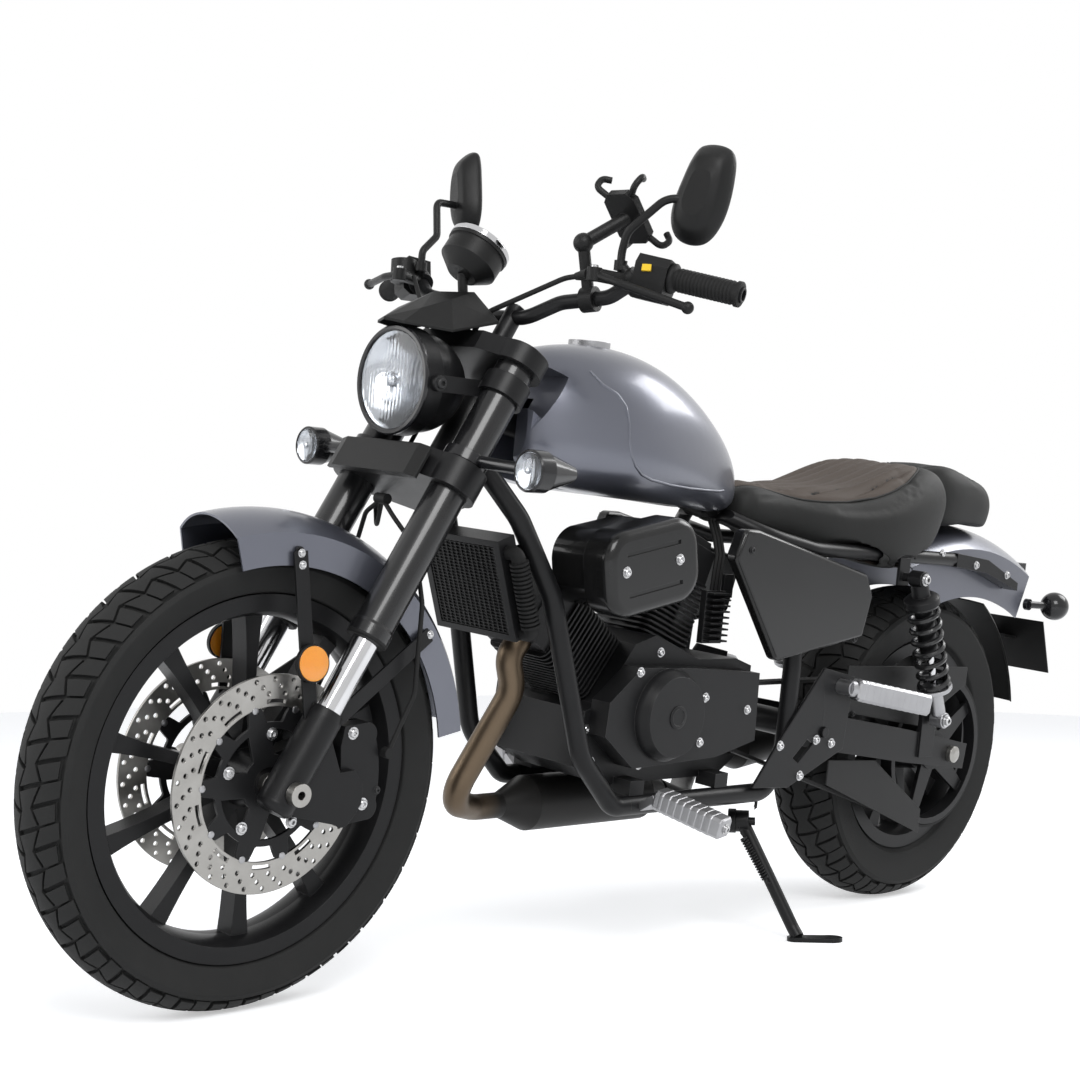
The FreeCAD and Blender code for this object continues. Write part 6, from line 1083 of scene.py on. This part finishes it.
for side in sides:
    for body, names, spots, radius, finish in boltRows:
        sideBolts(body, names, spots, radius, side, finish)
    hub = onSide(coverNodes, *plugPlan["at"], side)
    plug = put(lathe(plugPlan["profile"], 40), standing(hub, (0, side, 0)))
    showShape("cover_plug_" + ("left" if side > 0 else "right"), plug, "engine_black", "chassis")
sideBolts("chassis", ["air_cleaner"], [(1032, 650), (915, 673)], 6.5)
sideBolts("chassis", ["belt_guards"], [(300, 395), (520, 455)], 4.5, 1, "black_bolt")
for (body, finish), shapes in boltGroups.items():
    showShape(body + "_" + finish + "s", joined(shapes), finish, body)
print("bolts", sum(len(shapes) for shapes in boltGroups.values()))


# Floor, light and camera

stagePlan = dict(floorSize=14, floorColour=(0.86, 0.87, 0.88), floorGloss=0.7, floorLift=0.45,
    worldColour=(0.93, 0.95, 1.0), worldStrength=0.42)
white = (1, 1, 1, 1)


def seenRays(tree):  # one for the rays that show the background, in the camera, metal and glass
    path = addNode(tree, "ShaderNodeLightPath")
    shiny = addNode(tree, "ShaderNodeMath", operation="MAXIMUM")
    wire(tree, path, "Is Camera Ray", shiny, 0)
    wire(tree, path, "Is Glossy Ray", shiny, 1)
    through = addNode(tree, "ShaderNodeMath", operation="MAXIMUM")
    wire(tree, shiny, 0, through, 0)
    wire(tree, path, "Is Transmission Ray", through, 1)
    return through, 0


def makeFloor():
    half = stagePlan["floorSize"] / 2
    mesh = bpy.data.meshes.new("floor")
    mesh.from_pydata([(-half, -half, 0), (half, -half, 0), (half, half, 0), (-half, half, 0)],
                     [], [(0, 1, 2, 3)])
    floor = bpy.data.objects.new("floor", mesh)
    scene.collection.objects.link(floor)
    material, tree, shader = newMaterial("floor")
    setSockets(shader, {"Base Color": (*stagePlan["floorColour"], 1), "Emission Color": white,
                        "Roughness": stagePlan["floorGloss"]})
    lift = addNode(tree, "ShaderNodeMath", {1: stagePlan["floorLift"]}, operation="MULTIPLY")
    wire(tree, *seenRays(tree), lift, 0)
    wire(tree, lift, 0, shader, "Emission Strength")  # seen paler than it lights
    mesh.materials.append(material)


def makeWorld():
    world = bpy.data.worlds.new("studio")
    world.use_nodes = True
    tree = world.node_tree
    sky = tree.nodes["Background"]
    setSockets(sky, {"Color": (*stagePlan["worldColour"], 1), "Strength": stagePlan["worldStrength"]})
    plain = addNode(tree, "ShaderNodeBackground", {"Color": white})  # what the camera sees
    pick = addNode(tree, "ShaderNodeMixShader")
    wire(tree, *seenRays(tree), pick, 0)
    wire(tree, sky, "Background", pick, 1)
    wire(tree, plain, "Background", pick, 2)
    wire(tree, pick, 0, tree.nodes["World Output"], "Surface")
    scene.world = world


lampPlan = {
    "key": dict(at=(2.6, 3.4, 3.6), size=2.4, power=190),
    "fill": dict(at=(3.8, -2.2, 2.2), size=2.4, power=70),
    "back": dict(at=(-3.4, 1.2, 3.0), size=2.0, power=90),
}


def makeLamps():
    for name, plan in lampPlan.items():
        light = bpy.data.lights.new(name, "AREA")
        light.size = plan["size"]
        light.energy = plan["power"]
        lamp = bpy.data.objects.new(name, light)
        lamp.location = plan["at"]
        aim = Vector((0, 0, 0.5)) - lamp.location
        lamp.rotation_euler = aim.to_track_quat("-Z", "Y").to_euler()
        scene.collection.objects.link(lamp)


cameraPlan = dict(at=(2.98388, 2.11824, 0.55257), back=(0.69487, 0.71790, -0.04210),
    roll=0.42, lens=59.17, sensor=36)


def makeCamera():
    data = bpy.data.cameras.new("camera")
    data.sensor_width = cameraPlan["sensor"]
    data.lens = cameraPlan["lens"]
    data.clip_end = 60
    camera = bpy.data.objects.new("camera", data)
    back = Vector(cameraPlan["back"]).normalized()
    aim = (-back).to_track_quat("-Z", "Y").to_matrix()
    roll = Matrix.Rotation(math.radians(cameraPlan["roll"]), 3, "Z")
    place = Matrix.Translation(Vector(cameraPlan["at"]) + origin)
    camera.matrix_world = place @ (aim @ roll).to_4x4()
    scene.collection.objects.link(camera)
    scene.camera = camera


makeFloor()
makeWorld()
makeLamps()
makeCamera()
scene.view_settings.view_transform = "Standard"
print("stage set")
